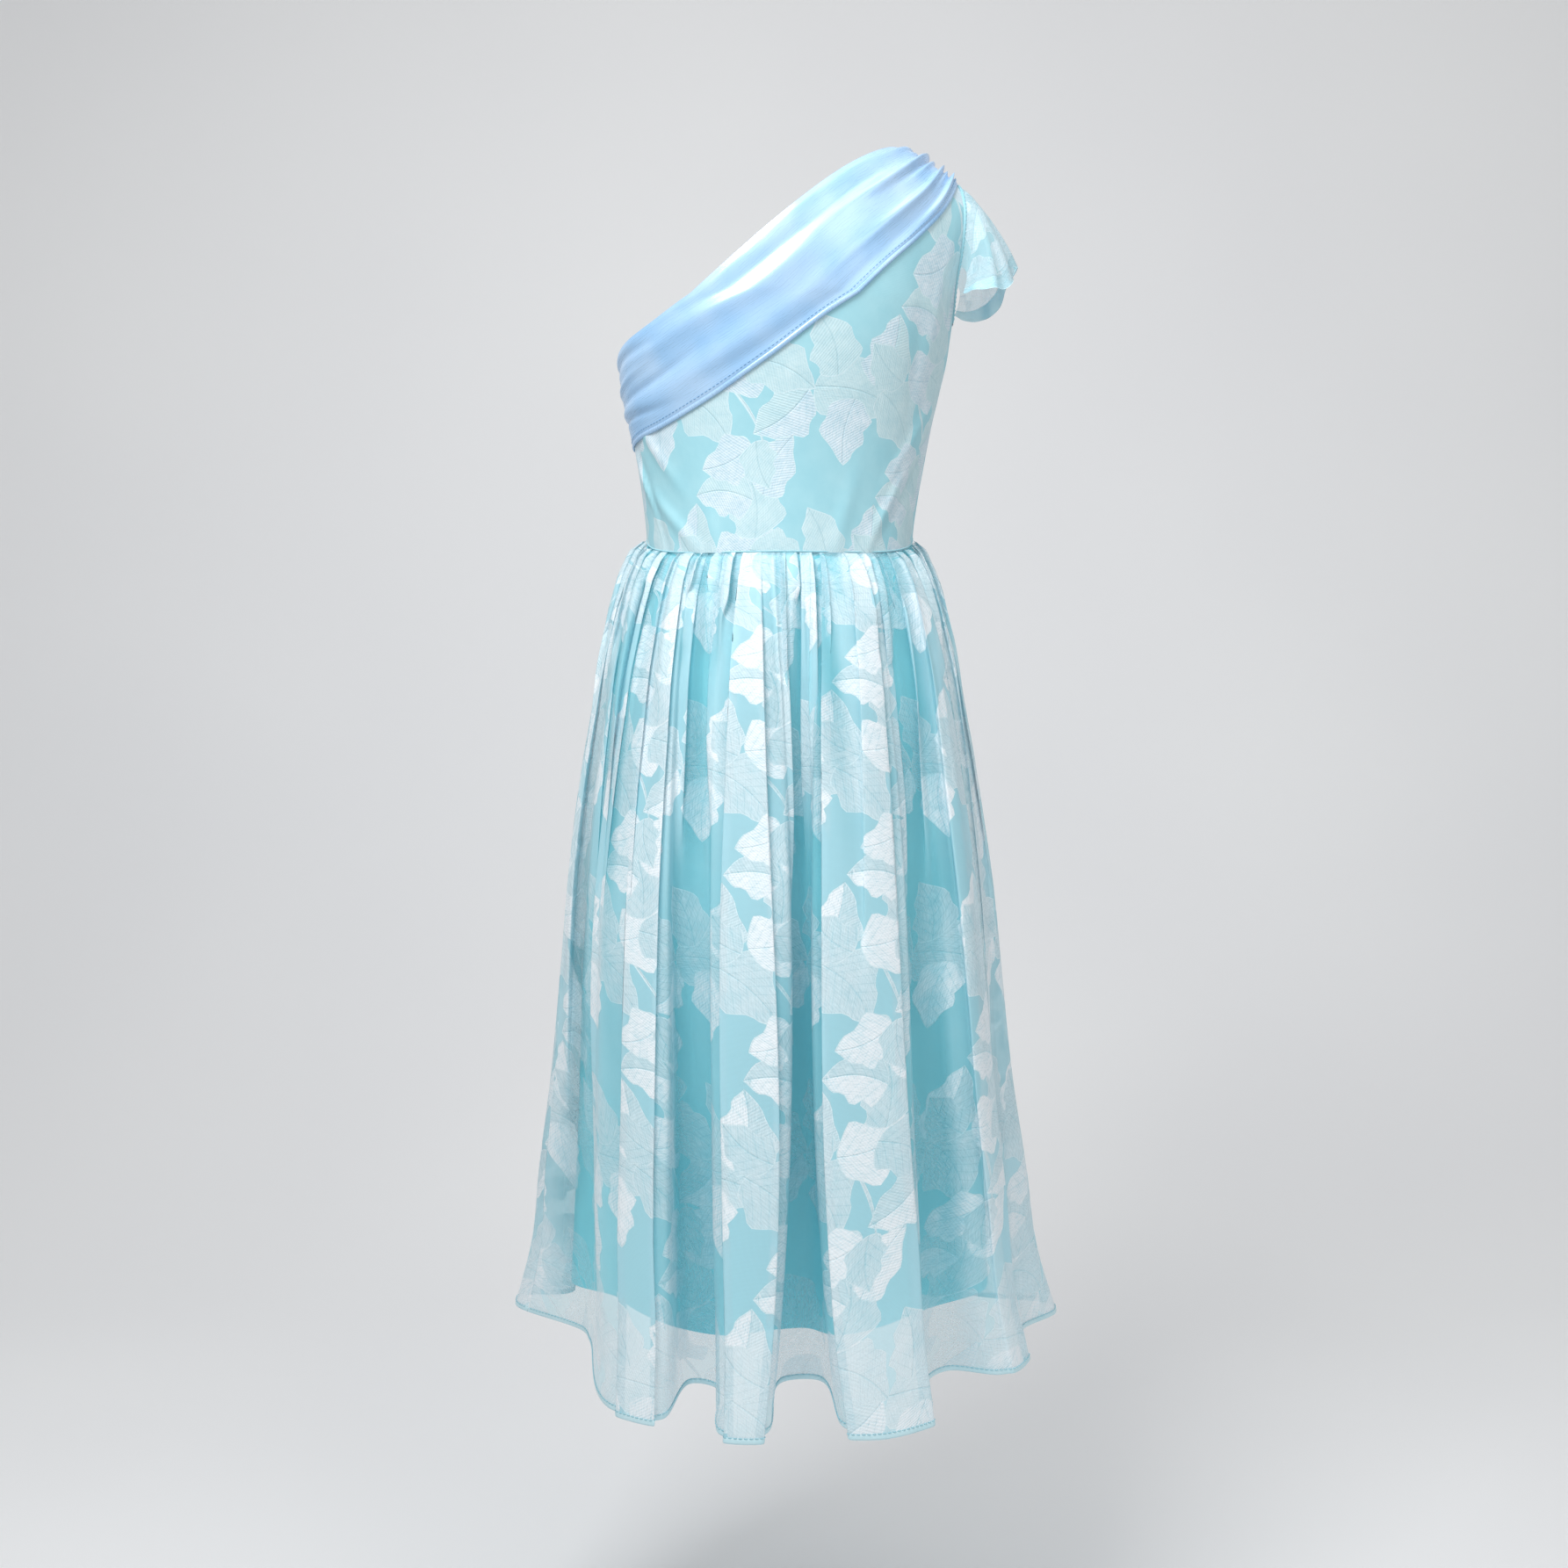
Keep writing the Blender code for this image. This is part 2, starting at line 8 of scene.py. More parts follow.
import bpy
import numpy as np
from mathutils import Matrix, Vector
from mathutils.geometry import delaunay_2d_cdt


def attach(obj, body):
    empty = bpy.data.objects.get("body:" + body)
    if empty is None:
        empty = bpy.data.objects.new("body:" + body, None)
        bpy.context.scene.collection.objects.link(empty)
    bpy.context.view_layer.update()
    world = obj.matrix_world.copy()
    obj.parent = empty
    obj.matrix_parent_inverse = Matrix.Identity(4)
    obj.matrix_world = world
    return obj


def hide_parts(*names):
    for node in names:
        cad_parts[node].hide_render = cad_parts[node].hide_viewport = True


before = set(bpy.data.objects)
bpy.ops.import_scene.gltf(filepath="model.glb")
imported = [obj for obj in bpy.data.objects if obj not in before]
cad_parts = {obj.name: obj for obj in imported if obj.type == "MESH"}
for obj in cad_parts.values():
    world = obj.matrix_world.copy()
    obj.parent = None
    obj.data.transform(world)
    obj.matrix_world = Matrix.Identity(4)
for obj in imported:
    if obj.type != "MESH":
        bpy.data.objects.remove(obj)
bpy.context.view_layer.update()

METRES = 0.001
SHOULDER_SEAM_MIDDLE = np.array((-134.0, 0.0, 344.0))
SEAM_GAP = 0.3

SKIRT_LENGTH = 726.0
LINING_LENGTH = 688.0
SKIRT_CENTRE = 4.0
WAIST_DIP_BACK = 25.0
WAIST_DIP_FRONT = 6.0
GATHERS_ROUND = 50
GATHER_HEIGHT = 3.2
PUFFS_ROUND = 27
PUFF_HEIGHT = 5.0
# How the gathers and puffs grow and fade: share of the way down, and share of their height.
FADE_COLUMNS = ("down", "height")
GATHER_FADE = ((0.0, 0.35), (0.02, 1.0), (0.07, 0.9), (0.17, 0.45), (0.32, 0.12), (0.5, 0.0), (1.0, 0.0))
PUFF_FADE = ((0.0, 0.0), (0.05, 0.4), (0.17, 1.0), (0.35, 0.6), (0.62, 0.15), (1.0, 0.0))
# Slow swings that make the gathers uneven: swings round, size and start.
SWING_COLUMNS = ("round", "size", "start")
GATHER_SWINGS = ((7, 1.1, 0.0), (13, 0.8, 1.0))
PUFF_SWINGS = ((4, 1.4, 0.5),)
GATHER_HEIGHT_SWING = 0.25

# The figure's sections: height, half width, shift of the middle, depth behind and in front.
FIGURE_COLUMNS = ("height", "half_width", "middle", "back", "front")
FIGURE = (
    (-30.0, 123.5, 4.0, 92.0, 92.0),
    (0.0, 123.5, 4.0, 92.0, 93.0),
    (38.0, 128.0, 3.5, 93.0, 98.0),
    (71.0, 133.5, 3.0, 96.0, 106.0),
    (104.0, 139.5, 2.5, 101.0, 118.0),
    (138.0, 147.0, 2.0, 107.0, 126.0),
    (164.0, 152.5, 1.5, 111.0, 124.0),
    (192.0, 156.0, 0.8, 114.0, 116.0),
    (211.0, 158.5, 0.0, 115.0, 110.0),
    (240.0, 170.0, 0.0, 116.0, 104.0),
    (268.0, 178.0, 0.0, 116.0, 100.0),
    (300.0, 180.0, 0.0, 115.0, 97.0),
    (332.0, 178.0, 0.0, 113.0, 95.0),
    (365.0, 170.0, 0.0, 110.0, 93.0),
)
# The shoulder rounds over to nothing at a line that falls from the neck to the arm.
SHOULDER_SLOPE = 0.58
ROUNDING_START = 200.0

# Edges of the bodice as angle and height, from the left side to the shoulder.
NECKLINE = ((0.0, 163.0), (21.0, 171.0), (40.0, 180.5), (61.0, 202.5), (83.0, 232.0), (103.5, 270.0),
            (121.0, 313.0), (131.0, 356.8))
BAND_FOOT = ((0.0, 84.0), (20.0, 87.0), (42.0, 93.0), (62.0, 109.0), (85.0, 142.0), (106.0, 184.0),
             (124.0, 217.0), (134.0, 236.0), (143.5, 260.0), (150.0, 293.0), (153.0, 329.0))
RIGHT_EDGE = ((180.0, 0.0), (180.0, 100.0), (180.0, 190.0), (180.0, 195.0), (178.5, 201.0),
              (174.0, 208.0), (167.0, 222.0), (163.0, 240.0), (159.0, 265.0), (155.5, 295.0), (153.0, 329.0))
MM_PER_DEGREE = 2.4

# Folds of the band where it is drawn up at the shoulder: place across it, and reach along it.
BAND_FOLDS = ((0.10, 0.20), (0.27, 0.32), (0.46, 0.24), (0.64, 0.36), (0.82, 0.22))
BAND_FOLD_HEIGHT = 3.0
BAND_FOLD_WIDTH = 0.055

# Outline of the hanging cloth: depth below the waist, half width, reach behind and in front.
SKIRT_COLUMNS = ("drop", "half_width", "back", "front")
SKIRT = (
    (0.0, 123.5, 92.0, 92.5),
    (8.0, 130.5, 98.0, 99.0),
    (20.0, 136.5, 105.0, 105.0),
    (50.0, 146.5, 116.0, 115.0),
    (81.0, 154.0, 124.0, 122.0),
    (112.0, 161.0, 131.0, 128.0),
    (159.0, 169.5, 139.0, 135.0),
    (206.0, 178.5, 147.0, 142.0),
    (300.0, 193.0, 166.0, 160.0),
    (393.0, 204.0, 186.0, 179.0),
    (501.0, 216.5, 208.0, 201.0),
    (590.0, 230.0, 226.0, 219.0),
    (659.0, 239.0, 241.0, 234.0),
    (726.0, 258.0, 256.0, 248.0),
)
LINING = (
    (0.0, 121.5, 90.0, 90.5),
    (20.0, 129.5, 96.5, 96.5),
    (50.0, 139.5, 106.0, 105.0),
    (112.0, 153.5, 117.0, 115.0),
    (206.0, 168.5, 126.0, 123.0),
    (350.0, 181.0, 139.0, 136.0),
    (560.0, 188.0, 157.0, 152.0),
    (688.0, 193.0, 166.0, 160.0),
)
MIDDLE_DROP = 393.0
KNOTS_ROUND_AGAIN = 6

# A row for each ridge and each hollow of the organza: its angle, half angle and radius half way
# down and at the hem, and how much lower its hem hangs.
FOLD_COLUMNS = ("name", "mid_angle", "mid_half", "mid_radius", "hem_angle", "hem_half", "hem_radius",
                "hem_drop")
SKIRT_FOLDS = (
    ("side_left", -5.0, 6.0, 204.0, -12.0, 3.0, 259.0, 0.0),
    ("hollow_left", 22.0, 5.0, 186.0, 17.0, 4.0, 184.0, 0.0),
    ("ridge_a", 55.0, 7.0, 204.0, 64.0, 4.5, 257.0, 4.0),
    ("hollow_b", 65.0, 4.0, 170.0, 69.5, 3.5, 184.0, 0.0),
    ("ridge_c", 83.0, 8.5, 191.0, 83.5, 4.0, 257.0, 10.0),
    ("hollow_d", 96.8, 3.0, 148.0, 96.5, 5.0, 163.0, 0.0),
    ("ridge_e", 111.0, 12.0, 194.0, 110.0, 8.0, 260.0, 7.0),
    ("hollow_f", 134.0, 3.0, 176.0, 133.5, 3.5, 201.0, 0.0),
    ("ridge_f", 147.0, 6.0, 201.0, 149.0, 7.0, 240.0, 0.0),
    ("hollow_g", 164.0, 4.0, 197.0, 169.5, 2.5, 228.0, 0.0),
    ("side_right", 182.0, 6.0, 206.0, 186.0, 3.0, 263.0, 0.0),
    ("front_hollow_1", 203.0, 4.0, 182.0, 204.0, 4.0, 200.0, 0.0),
    ("front_ridge_1", 218.0, 6.0, 198.0, 217.0, 4.5, 251.0, 3.0),
    ("front_hollow_2", 234.0, 4.0, 164.0, 233.0, 4.0, 182.0, 0.0),
    ("front_ridge_2", 248.0, 7.0, 188.0, 247.0, 5.0, 247.0, 5.0),
    ("front_hollow_3", 263.0, 4.0, 152.0, 262.0, 4.5, 172.0, 0.0),
    ("front_ridge_3", 277.0, 6.0, 186.0, 276.0, 5.0, 250.0, 6.0),
    ("front_hollow_4", 292.0, 4.0, 158.0, 291.0, 4.0, 178.0, 0.0),
    ("front_ridge_4", 306.0, 6.0, 190.0, 306.0, 5.0, 248.0, 4.0),
    ("front_hollow_5", 320.0, 3.5, 178.0, 320.0, 3.5, 194.0, 0.0),
    ("front_ridge_5", 331.0, 4.0, 199.0, 331.0, 3.5, 243.0, 0.0),
    ("front_hollow_6", 342.0, 3.0, 196.0, 339.0, 2.0, 222.0, 0.0),
)
LINING_FOLDS = (
    ("left", -2.0, 9.0, 181.0, -2.0, 8.0, 191.0, 0.0),
    ("hollow_l", 28.0, 7.0, 156.0, 28.0, 6.0, 157.0, 0.0),
    ("ridge_b", 68.0, 9.0, 144.0, 68.0, 7.0, 165.0, 0.0),
    ("hollow_d", 96.0, 5.0, 131.0, 95.0, 5.0, 144.0, 0.0),
    ("ridge_e", 114.0, 9.0, 145.0, 114.0, 9.0, 162.0, 0.0),
    ("hollow_f", 138.0, 6.0, 152.0, 138.0, 6.0, 158.0, 0.0),
    ("right", 178.0, 9.0, 182.0, 178.0, 8.0, 191.0, 0.0),
    ("front_hollow_1", 213.0, 6.0, 156.0, 213.0, 6.0, 158.0, 0.0),
    ("front_ridge_1", 246.0, 8.0, 142.0, 246.0, 8.0, 158.0, 0.0),
    ("front_hollow_2", 266.0, 5.0, 130.0, 266.0, 5.0, 143.0, 0.0),
    ("front_ridge_2", 290.0, 8.0, 143.0, 290.0, 8.0, 158.0, 0.0),
    ("front_hollow_3", 324.0, 7.0, 155.0, 324.0, 7.0, 158.0, 0.0),
)

# The sleeve's hem from the back of the armhole over the arm to the front: share of the armhole,
# then across, behind and above the waist.
SLEEVE_COLUMNS = ("share", "across", "behind", "height")
SLEEVE_HEM = (
    (0.0, -163.0, 36.0, 219.0),
    (0.10, -173.0, 50.0, 218.0),
    (0.22, -189.0, 55.0, 218.0),
    (0.34, -204.0, 42.0, 223.0),
    (0.44, -215.0, 20.0, 243.0),
    (0.50, -221.0, 0.0, 256.0),
    (0.56, -215.0, -20.0, 245.0),
    (0.66, -204.0, -40.0, 225.0),
    (0.78, -189.0, -52.0, 219.0),
    (0.90, -173.0, -47.0, 218.0),
    (1.0, -163.0, -34.0, 219.0),
)
SLEEVE_FOOT = 230.0
# The sleeve leaves the armhole outwards, a little behind or in front, and down over the arm.
SLEEVE_LEAD = 22.0
SLEEVE_LEAD_OUT = 0.93
SLEEVE_LEAD_ROUND = 0.12
SLEEVE_LEAD_DOWN = 0.35


def unit(vectors):
    """Vectors of the same direction, each of length one."""
    return vectors / np.maximum(np.linalg.norm(vectors, axis=-1, keepdims=True), 1e-9)


def running(steps):
    """Length run at each point, from the steps between the points."""
    return np.concatenate(([0.0], np.cumsum(steps)))


def eased(share):
    """A share that leaves 0 and reaches 1 softly."""
    return share * share * (3 - 2 * share)


def smooth(knots, values, at):
    """Values of a smooth curve through a list of knots, at each place in at."""
    knots = np.asarray(knots, float)
    values = np.asarray(values, float)
    at = np.clip(np.asarray(at, float), knots[0], knots[-1])
    slopes = np.gradient(values, knots, axis=0)
    left = np.clip(np.searchsorted(knots, at, side="right") - 1, 0, len(knots) - 2)
    step = knots[left + 1] - knots[left]
    share = (at - knots[left]) / step
    if values.ndim == 2:
        share = share[..., None]
        step = step[..., None]
    rise = 3 * share**2 - 2 * share**3
    run_in = share - 2 * share**2 + share**3
    run_out = share**3 - share**2
    ends = values[left] * (1 - rise) + values[left + 1] * rise
    return ends + step * (slopes[left] * run_in + slopes[left + 1] * run_out)


def read(table, columns, name, at):
    """One named column of a table, read along its first column."""
    rows = np.asarray(table, float)
    return smooth(rows[:, 0], rows[:, columns.index(name)], at)


def along(edge, share):
    """Angle and height at a share of an edge's length."""
    points = np.asarray(edge, float)
    steps = np.diff(points, axis=0) * (MM_PER_DEGREE, 1.0)
    lengths = running(np.hypot(*steps.T))
    return smooth(lengths / lengths[-1], points, share)


def across_at(angle, height):
    """How far across the figure's surface lies."""
    half_width = read(FIGURE, FIGURE_COLUMNS, "half_width", height)
    return read(FIGURE, FIGURE_COLUMNS, "middle", height) + half_width * np.cos(np.radians(angle))


def shoulder_height(angle, height):
    """Height of the sloping shoulder line above a point of the figure."""
    return SHOULDER_SEAM_MIDDLE[2] + SHOULDER_SLOPE * (across_at(angle, height) - SHOULDER_SEAM_MIDDLE[0])


def waist_dip(angle, side):
    """How far the waist seam sinks below its height at the sides."""
    deepest = WAIST_DIP_BACK if side > 0 else WAIST_DIP_FRONT
    return deepest * (1 - np.abs((angle - 90.0) / 90.0)**3)


def figure(angle, height, side):
    """A point of the figure's surface; side is 1 behind and -1 in front.

    Above the rounding's start, height runs evenly over the curve to the shoulder line.
    """
    turn = np.radians(angle)
    across = across_at(angle, height)
    depth = read(FIGURE, FIGURE_COLUMNS, "back" if side > 0 else "front", height)
    span = shoulder_height(angle, height) - ROUNDING_START
    over = np.clip((height - ROUNDING_START) / span, 0.0, 1.3) * np.pi / 2
    up = np.where(height > ROUNDING_START, ROUNDING_START + span * np.sin(over), height)
    depth = depth * np.sin(turn) * np.cos(over)
    return np.stack((across, side * (depth + SEAM_GAP / 2), up), axis=-1)


def bodice_plan(u, v, side):
    """Angle and height on a bodice panel: v is 0 at the waist, 1 at the band's foot, 2 at the neck."""
    waist_angle = 180.0 * u
    waist = np.stack((waist_angle, -waist_dip(waist_angle, side) + SEAM_GAP / 2), axis=-1)
    foot = along(BAND_FOOT, u)
    neck = along(NECKLINE, u)
    low = np.clip(v, 0.0, 1.0)[..., None]
    high = np.clip(v - 1.0, 0.0, 1.0)[..., None]
    straight = np.array(RIGHT_EDGE[0]) * (1 - low) + np.array(RIGHT_EDGE[-1]) * low
    bow = along(RIGHT_EDGE, low[..., 0]) - straight
    body = waist * (1 - low) + foot * low + bow * (u**2)[..., None]
    body[..., 0] = np.minimum(body[..., 0], 180.0)
    band = foot * (1 - high) + neck * high
    end = np.array(BAND_FOOT[-1]) * (1 - high) + np.array(NECKLINE[-1]) * high
    band[..., 1] += (shoulder_height(end[..., 0], end[..., 1]) - end[..., 1]) * u**6
    return np.where(v[..., None] > 1.0, band, body)


def bodice(side):
    """The outer face of a bodice panel as a function of its two shares."""
    def surface(u, v):
        plan = bodice_plan(u, v, side)
        return figure(plan[..., 0], plan[..., 1], side)
    return surface


def band_rise(u, v):
    """Height of the folds drawn up at the shoulder end of the band."""
    place = v - 1.0
    height = np.zeros_like(u)
    for middle, reach in BAND_FOLDS:
        fade = np.clip((u - 1.0 + reach) / reach, 0.0, 1.0)**1.5
        lean = middle + 0.25 * (middle - 0.5) * (1.0 - u) / reach
        height += fade * np.exp(-((place - lean) / BAND_FOLD_WIDTH)**2)
    return BAND_FOLD_HEIGHT * height


def ring(table, columns_table, angle_share, down, length):
    """Points of a hanging cloth: share round from the left seam, share down from the waist."""
    rows = np.array([row[1:] for row in table], float)
    names = FOLD_COLUMNS[1:]
    column = {name: rows[:, place] for place, name in enumerate(names)}
    knots = {}
    for level in ("mid", "hem"):
        angle = column[level + "_angle"]
        half = column[level + "_half"]
        knots[level] = np.stack((angle - half, angle + half), axis=-1).ravel()
        knots[level + "_radius"] = np.repeat(column[level + "_radius"], 2)
    drop = np.repeat(column["hem_drop"], 2)
    hem = np.stack((knots["hem_radius"] * np.cos(np.radians(knots["hem"])),
                    knots["hem_radius"] * np.sin(np.radians(knots["hem"]))), axis=-1)
    closed = np.vstack((hem, hem[:1]))
    steps = np.hypot(*np.diff(closed, axis=0).T)
    share = running(steps)[:-1] / steps.sum()
    seam_share = np.interp(0.0, knots["hem"], share)
    share = share - seam_share
    even = share * 360.0
    waist_angle = 0.5 * (even + knots["mid"])
    places = 0.5 * (share + waist_angle / 360.0)

    def wrapped(values, turn=0.0):
        values = np.asarray(values, float)
        before = values[-KNOTS_ROUND_AGAIN:] - turn
        after = values[:KNOTS_ROUND_AGAIN] + turn
        return np.concatenate((before, values, after))

    places = wrapped(places, 1.0)
    depths = read_levels(columns_table, down * length)
    at_waist = np.radians(smooth(places, wrapped(waist_angle, 360.0), angle_share))
    levels = [np.stack((np.cos(at_waist), np.sin(at_waist)), axis=-1)]
    for level, at in (("mid", MIDDLE_DROP), ("hem", length)):
        angle = np.radians(wrapped(knots[level], 360.0))
        radius = wrapped(knots[level + "_radius"])
        outline = read_levels(columns_table, np.full(angle.shape, at))
        behind = np.where(np.sin(angle) > 0, outline["back"], outline["front"])
        shape = np.stack((radius * np.cos(angle) / outline["half_width"],
                          radius * np.sin(angle) / behind), axis=-1)
        levels.append(smooth(places, shape, angle_share))
    shape = between_levels(levels, (0.0, MIDDLE_DROP / length, 1.0), down)
    behind = np.where(shape[..., 1] > 0, depths["back"], depths["front"])
    extra = smooth(places, wrapped(drop), angle_share) * down**2
    angle = np.degrees(at_waist)
    side = np.where(np.sin(at_waist) > 0, 1.0, -1.0)
    dip = np.where(side > 0, waist_dip(np.mod(angle, 360.0), 1),
                   waist_dip(360.0 - np.mod(angle, 360.0), -1))
    height = -dip * (1 - down) - down * length - extra - SEAM_GAP / 2
    across = SKIRT_CENTRE + shape[..., 0] * depths["half_width"]
    return across, shape[..., 1] * behind, height, at_waist


def read_levels(table, drop):
    """Every column of an outline table at each drop below the waist."""
    return {name: read(table, SKIRT_COLUMNS, name, drop) for name in SKIRT_COLUMNS[1:]}


def between_levels(levels, shares, down):
    """Blend three rings of shapes down the cloth along a smooth curve."""
    first, second, third = levels
    middle = shares[1]
    down = down[..., None]
    lagrange_first = (down - middle) * (down - 1.0) / middle
    lagrange_second = down * (1.0 - down) / (middle * (1.0 - middle))
    lagrange_third = down * (down - middle) / (1.0 - middle)
    return first * lagrange_first + second * lagrange_second + third * lagrange_third


def swing(table, angle):
    """Sum of slow swings round the waist."""
    return sum(size * np.sin(round_ * angle + start) for round_, size, start in table)


def gathers(angle, down):
    """Outward height of the waist gathers and of the wider puffs that they run into."""
    wave = 0.5 + 0.5 * np.cos(GATHERS_ROUND * angle + swing(GATHER_SWINGS, angle))
    uneven = 1 - GATHER_HEIGHT_SWING + GATHER_HEIGHT_SWING * np.sin(11 * angle + 0.7) * np.sin(5 * angle)
    fine = read(GATHER_FADE, FADE_COLUMNS, "height", down)
    puff = 0.5 + 0.5 * np.cos(PUFFS_ROUND * angle + swing(PUFF_SWINGS, angle))
    wide = read(PUFF_FADE, FADE_COLUMNS, "height", down)
    return GATHER_HEIGHT * fine * wave * uneven + PUFF_HEIGHT * wide * puff


def hanging(folds, outline, length, gathered):
    """The outer face of a hanging cloth; u goes once round from the left seam, v down to the hem."""
    def surface(u, v):
        across, behind, height, angle = ring(folds, outline, u, v, length)
        if gathered:
            out = gathers(angle, v)
            across = across + out * np.cos(angle)
            behind = behind + out * np.sin(angle)
        return np.stack((across, behind, height), axis=-1)
    return surface


def sleeve(u, v):
    """The outer face of the flutter sleeve: u round the armhole from behind, v down to the hem."""
    side = np.where(u <= 0.5, 1.0, -1.0)
    edge = np.asarray(RIGHT_EDGE, float)
    foot = np.interp(SLEEVE_FOOT, edge[:, 1], np.arange(len(edge)))
    top = len(edge) - 1.0
    place = foot + (top - foot) * (1 - np.abs(2 * u - 1.0))
    plan = smooth(np.arange(len(edge)), edge, place)
    behind = figure(plan[..., 0], plan[..., 1], 1)
    front = figure(plan[..., 0], plan[..., 1], -1)
    start = np.where(side[..., None] > 0, behind, front)
    lead = np.stack((-SLEEVE_LEAD_OUT * np.ones_like(u), SLEEVE_LEAD_ROUND * np.sin(np.pi * (1 - 2 * u)),
                     -SLEEVE_LEAD_DOWN * np.sin(np.pi * u)), axis=-1)
    start = start + lead * 3 * SEAM_GAP
    end = np.stack([read(SLEEVE_HEM, SLEEVE_COLUMNS, name, u) for name in SLEEVE_COLUMNS[1:]], axis=-1)
    reach = np.minimum(SLEEVE_LEAD, 0.45 * np.linalg.norm(end - start, axis=-1))[..., None]
    guide = start + lead * reach
    v = v[..., None]
    return start * (1 - v)**2 + guide * 2 * v * (1 - v) + end * v**2


def seam_shares(surface):
    """Share round at which the cloth crosses the right side seam, at the waist."""
    shares = np.linspace(0.3, 0.7, 801)
    return float(shares[np.argmin(np.abs(surface(shares, np.zeros_like(shares))[:, 1]))])


def parted(surface, split, half):
    """One half of a hanging cloth, its side edges drawn back by half the seam's gap."""
    def panel(u, v):
        low, high = ((0.0, split), (split, 1.0))[half]
        width = np.linalg.norm(surface(np.full_like(v, high - 0.01), v)
                               - surface(np.full_like(v, high), v), axis=-1) / 0.01
        back_off = 0.6 * SEAM_GAP / np.maximum(width, 1.0)
        return surface(low + back_off + (high - low - 2 * back_off) * u, v)
    return panel


# The leaf jacquard. A row places one leaf or stem of the repeat by its base; later rows lie on top.
REPEAT_WIDTH = 186.0
REPEAT_HEIGHT = 165.0
LEAF_COLUMNS = ("across", "up", "heading", "length", "width", "bend", "kind")
BOTH_BRIGHT, ONE_BRIGHT, BOTH_PLAIN, STEM = 0, 1, 2, 3
LEAVES = (
    (104.0, 74.0, 300.0, 98.0, 3.0, 8.0, STEM),
    (4.0, 58.0, 350.0, 84.0, 62.0, 6.0, BOTH_PLAIN),
    (24.0, 68.0, 112.0, 56.0, 42.0, -5.0, BOTH_PLAIN),
    (0.0, 56.0, 218.0, 62.0, 46.0, 6.0, ONE_BRIGHT),
    (42.0, 50.0, 264.0, 58.0, 46.0, -5.0, BOTH_BRIGHT),
    (60.0, 62.0, 76.0, 66.0, 48.0, -6.0, ONE_BRIGHT),
    (68.0, 58.0, 316.0, 66.0, 54.0, 6.0, BOTH_PLAIN),
    (98.0, 72.0, 20.0, 72.0, 54.0, -7.0, BOTH_BRIGHT),
    (92.0, 68.0, 142.0, 50.0, 38.0, 5.0, BOTH_PLAIN),
    (132.0, 82.0, 336.0, 64.0, 46.0, 6.0, BOTH_PLAIN),
    (138.0, 92.0, 98.0, 62.0, 52.0, -6.0, BOTH_PLAIN),
    (146.0, 130.0, 62.0, 58.0, 44.0, 5.0, BOTH_BRIGHT),
    (136.0, 126.0, 174.0, 60.0, 44.0, -6.0, ONE_BRIGHT),
    (136.0, 8.0, 200.0, 54.0, 42.0, 5.0, BOTH_BRIGHT),
    (140.0, 12.0, 286.0, 44.0, 34.0, -4.0, BOTH_PLAIN),
)
LEAF_POINTS = 18
LEAF_RIM = 0.6
LEAF_WAVE = 0.15
LEAF_REACH = 115.0
GROUND, LEAF_BRIGHT, LEAF_PLAIN, RIM = 0, 1, 2, 3
BLOCK = 28
NORMAL_STEP = 0.0008


def leaf_outline(length, width, bend, inset=0.0):
    """A pointed leaf along +X from its base, as points in order round it, turning left."""
    share = (1 - np.cos(np.linspace(0.0, np.pi, LEAF_POINTS))) / 2
    shape = share**0.55 * (1 - share)**0.95
    along_it = 1.5 * inset + share * (length - 3.5 * inset)
    middle = bend * np.sin(np.pi * along_it / length)
    edges = []
    for side, waves in ((-1, 13.0), (1, 19.0)):
        half = width / 2 * shape / shape.max() * (1 + LEAF_WAVE * np.sin(waves * share + length + side))
        half = half * half / (half + inset) if inset else half
        half[0] = half[-1] = 0.0
        edges.append(np.stack((along_it, middle + side * half), axis=-1))
    lower, upper = edges
    return np.vstack((lower, upper[-2:0:-1]))


def midrib(length, bend):
    """Points along a leaf's middle."""
    along_it = np.linspace(0.12, 0.88, 5) * length
    return np.stack((along_it, bend * np.sin(np.pi * along_it / length)), axis=-1)


def leaves_over(low, high, shift):
    """Every leaf of the repeat that can touch a box of cloth, each with its base and turn."""
    repeat = np.array((REPEAT_WIDTH, REPEAT_HEIGHT))
    first = np.floor((low - shift - LEAF_REACH) / repeat).astype(int)
    last = np.ceil((high - shift + LEAF_REACH) / repeat).astype(int)
    found = []
    for row in LEAVES:
        across, up, heading, length, width, bend, kind = row
        for column in range(first[0], last[0] + 1):
            for level in range(first[1], last[1] + 1):
                base = (column, level) * repeat + shift + (across, up)
                found.append((base, math.radians(heading), length, width, bend, kind))
    return found


def turned(points, turn):
    """Points turned by an angle."""
    cos, sin = math.cos(turn), math.sin(turn)
    return np.stack((points[:, 0] * cos - points[:, 1] * sin,
                     points[:, 0] * sin + points[:, 1] * cos), axis=-1)


def leaf_lines(leaf):
    """The outlines of one leaf laid on the cloth, whether each is its rim, and its midrib."""
    base, turn, length, width, bend, kind = leaf
    outlines = [(turned(leaf_outline(length, width, bend), turn) + base, True)]
    if kind == STEM:
        return outlines, None
    outlines.append((turned(leaf_outline(length, width, bend, LEAF_RIM), turn) + base, False))
    return outlines, turned(midrib(length, bend), turn) + base


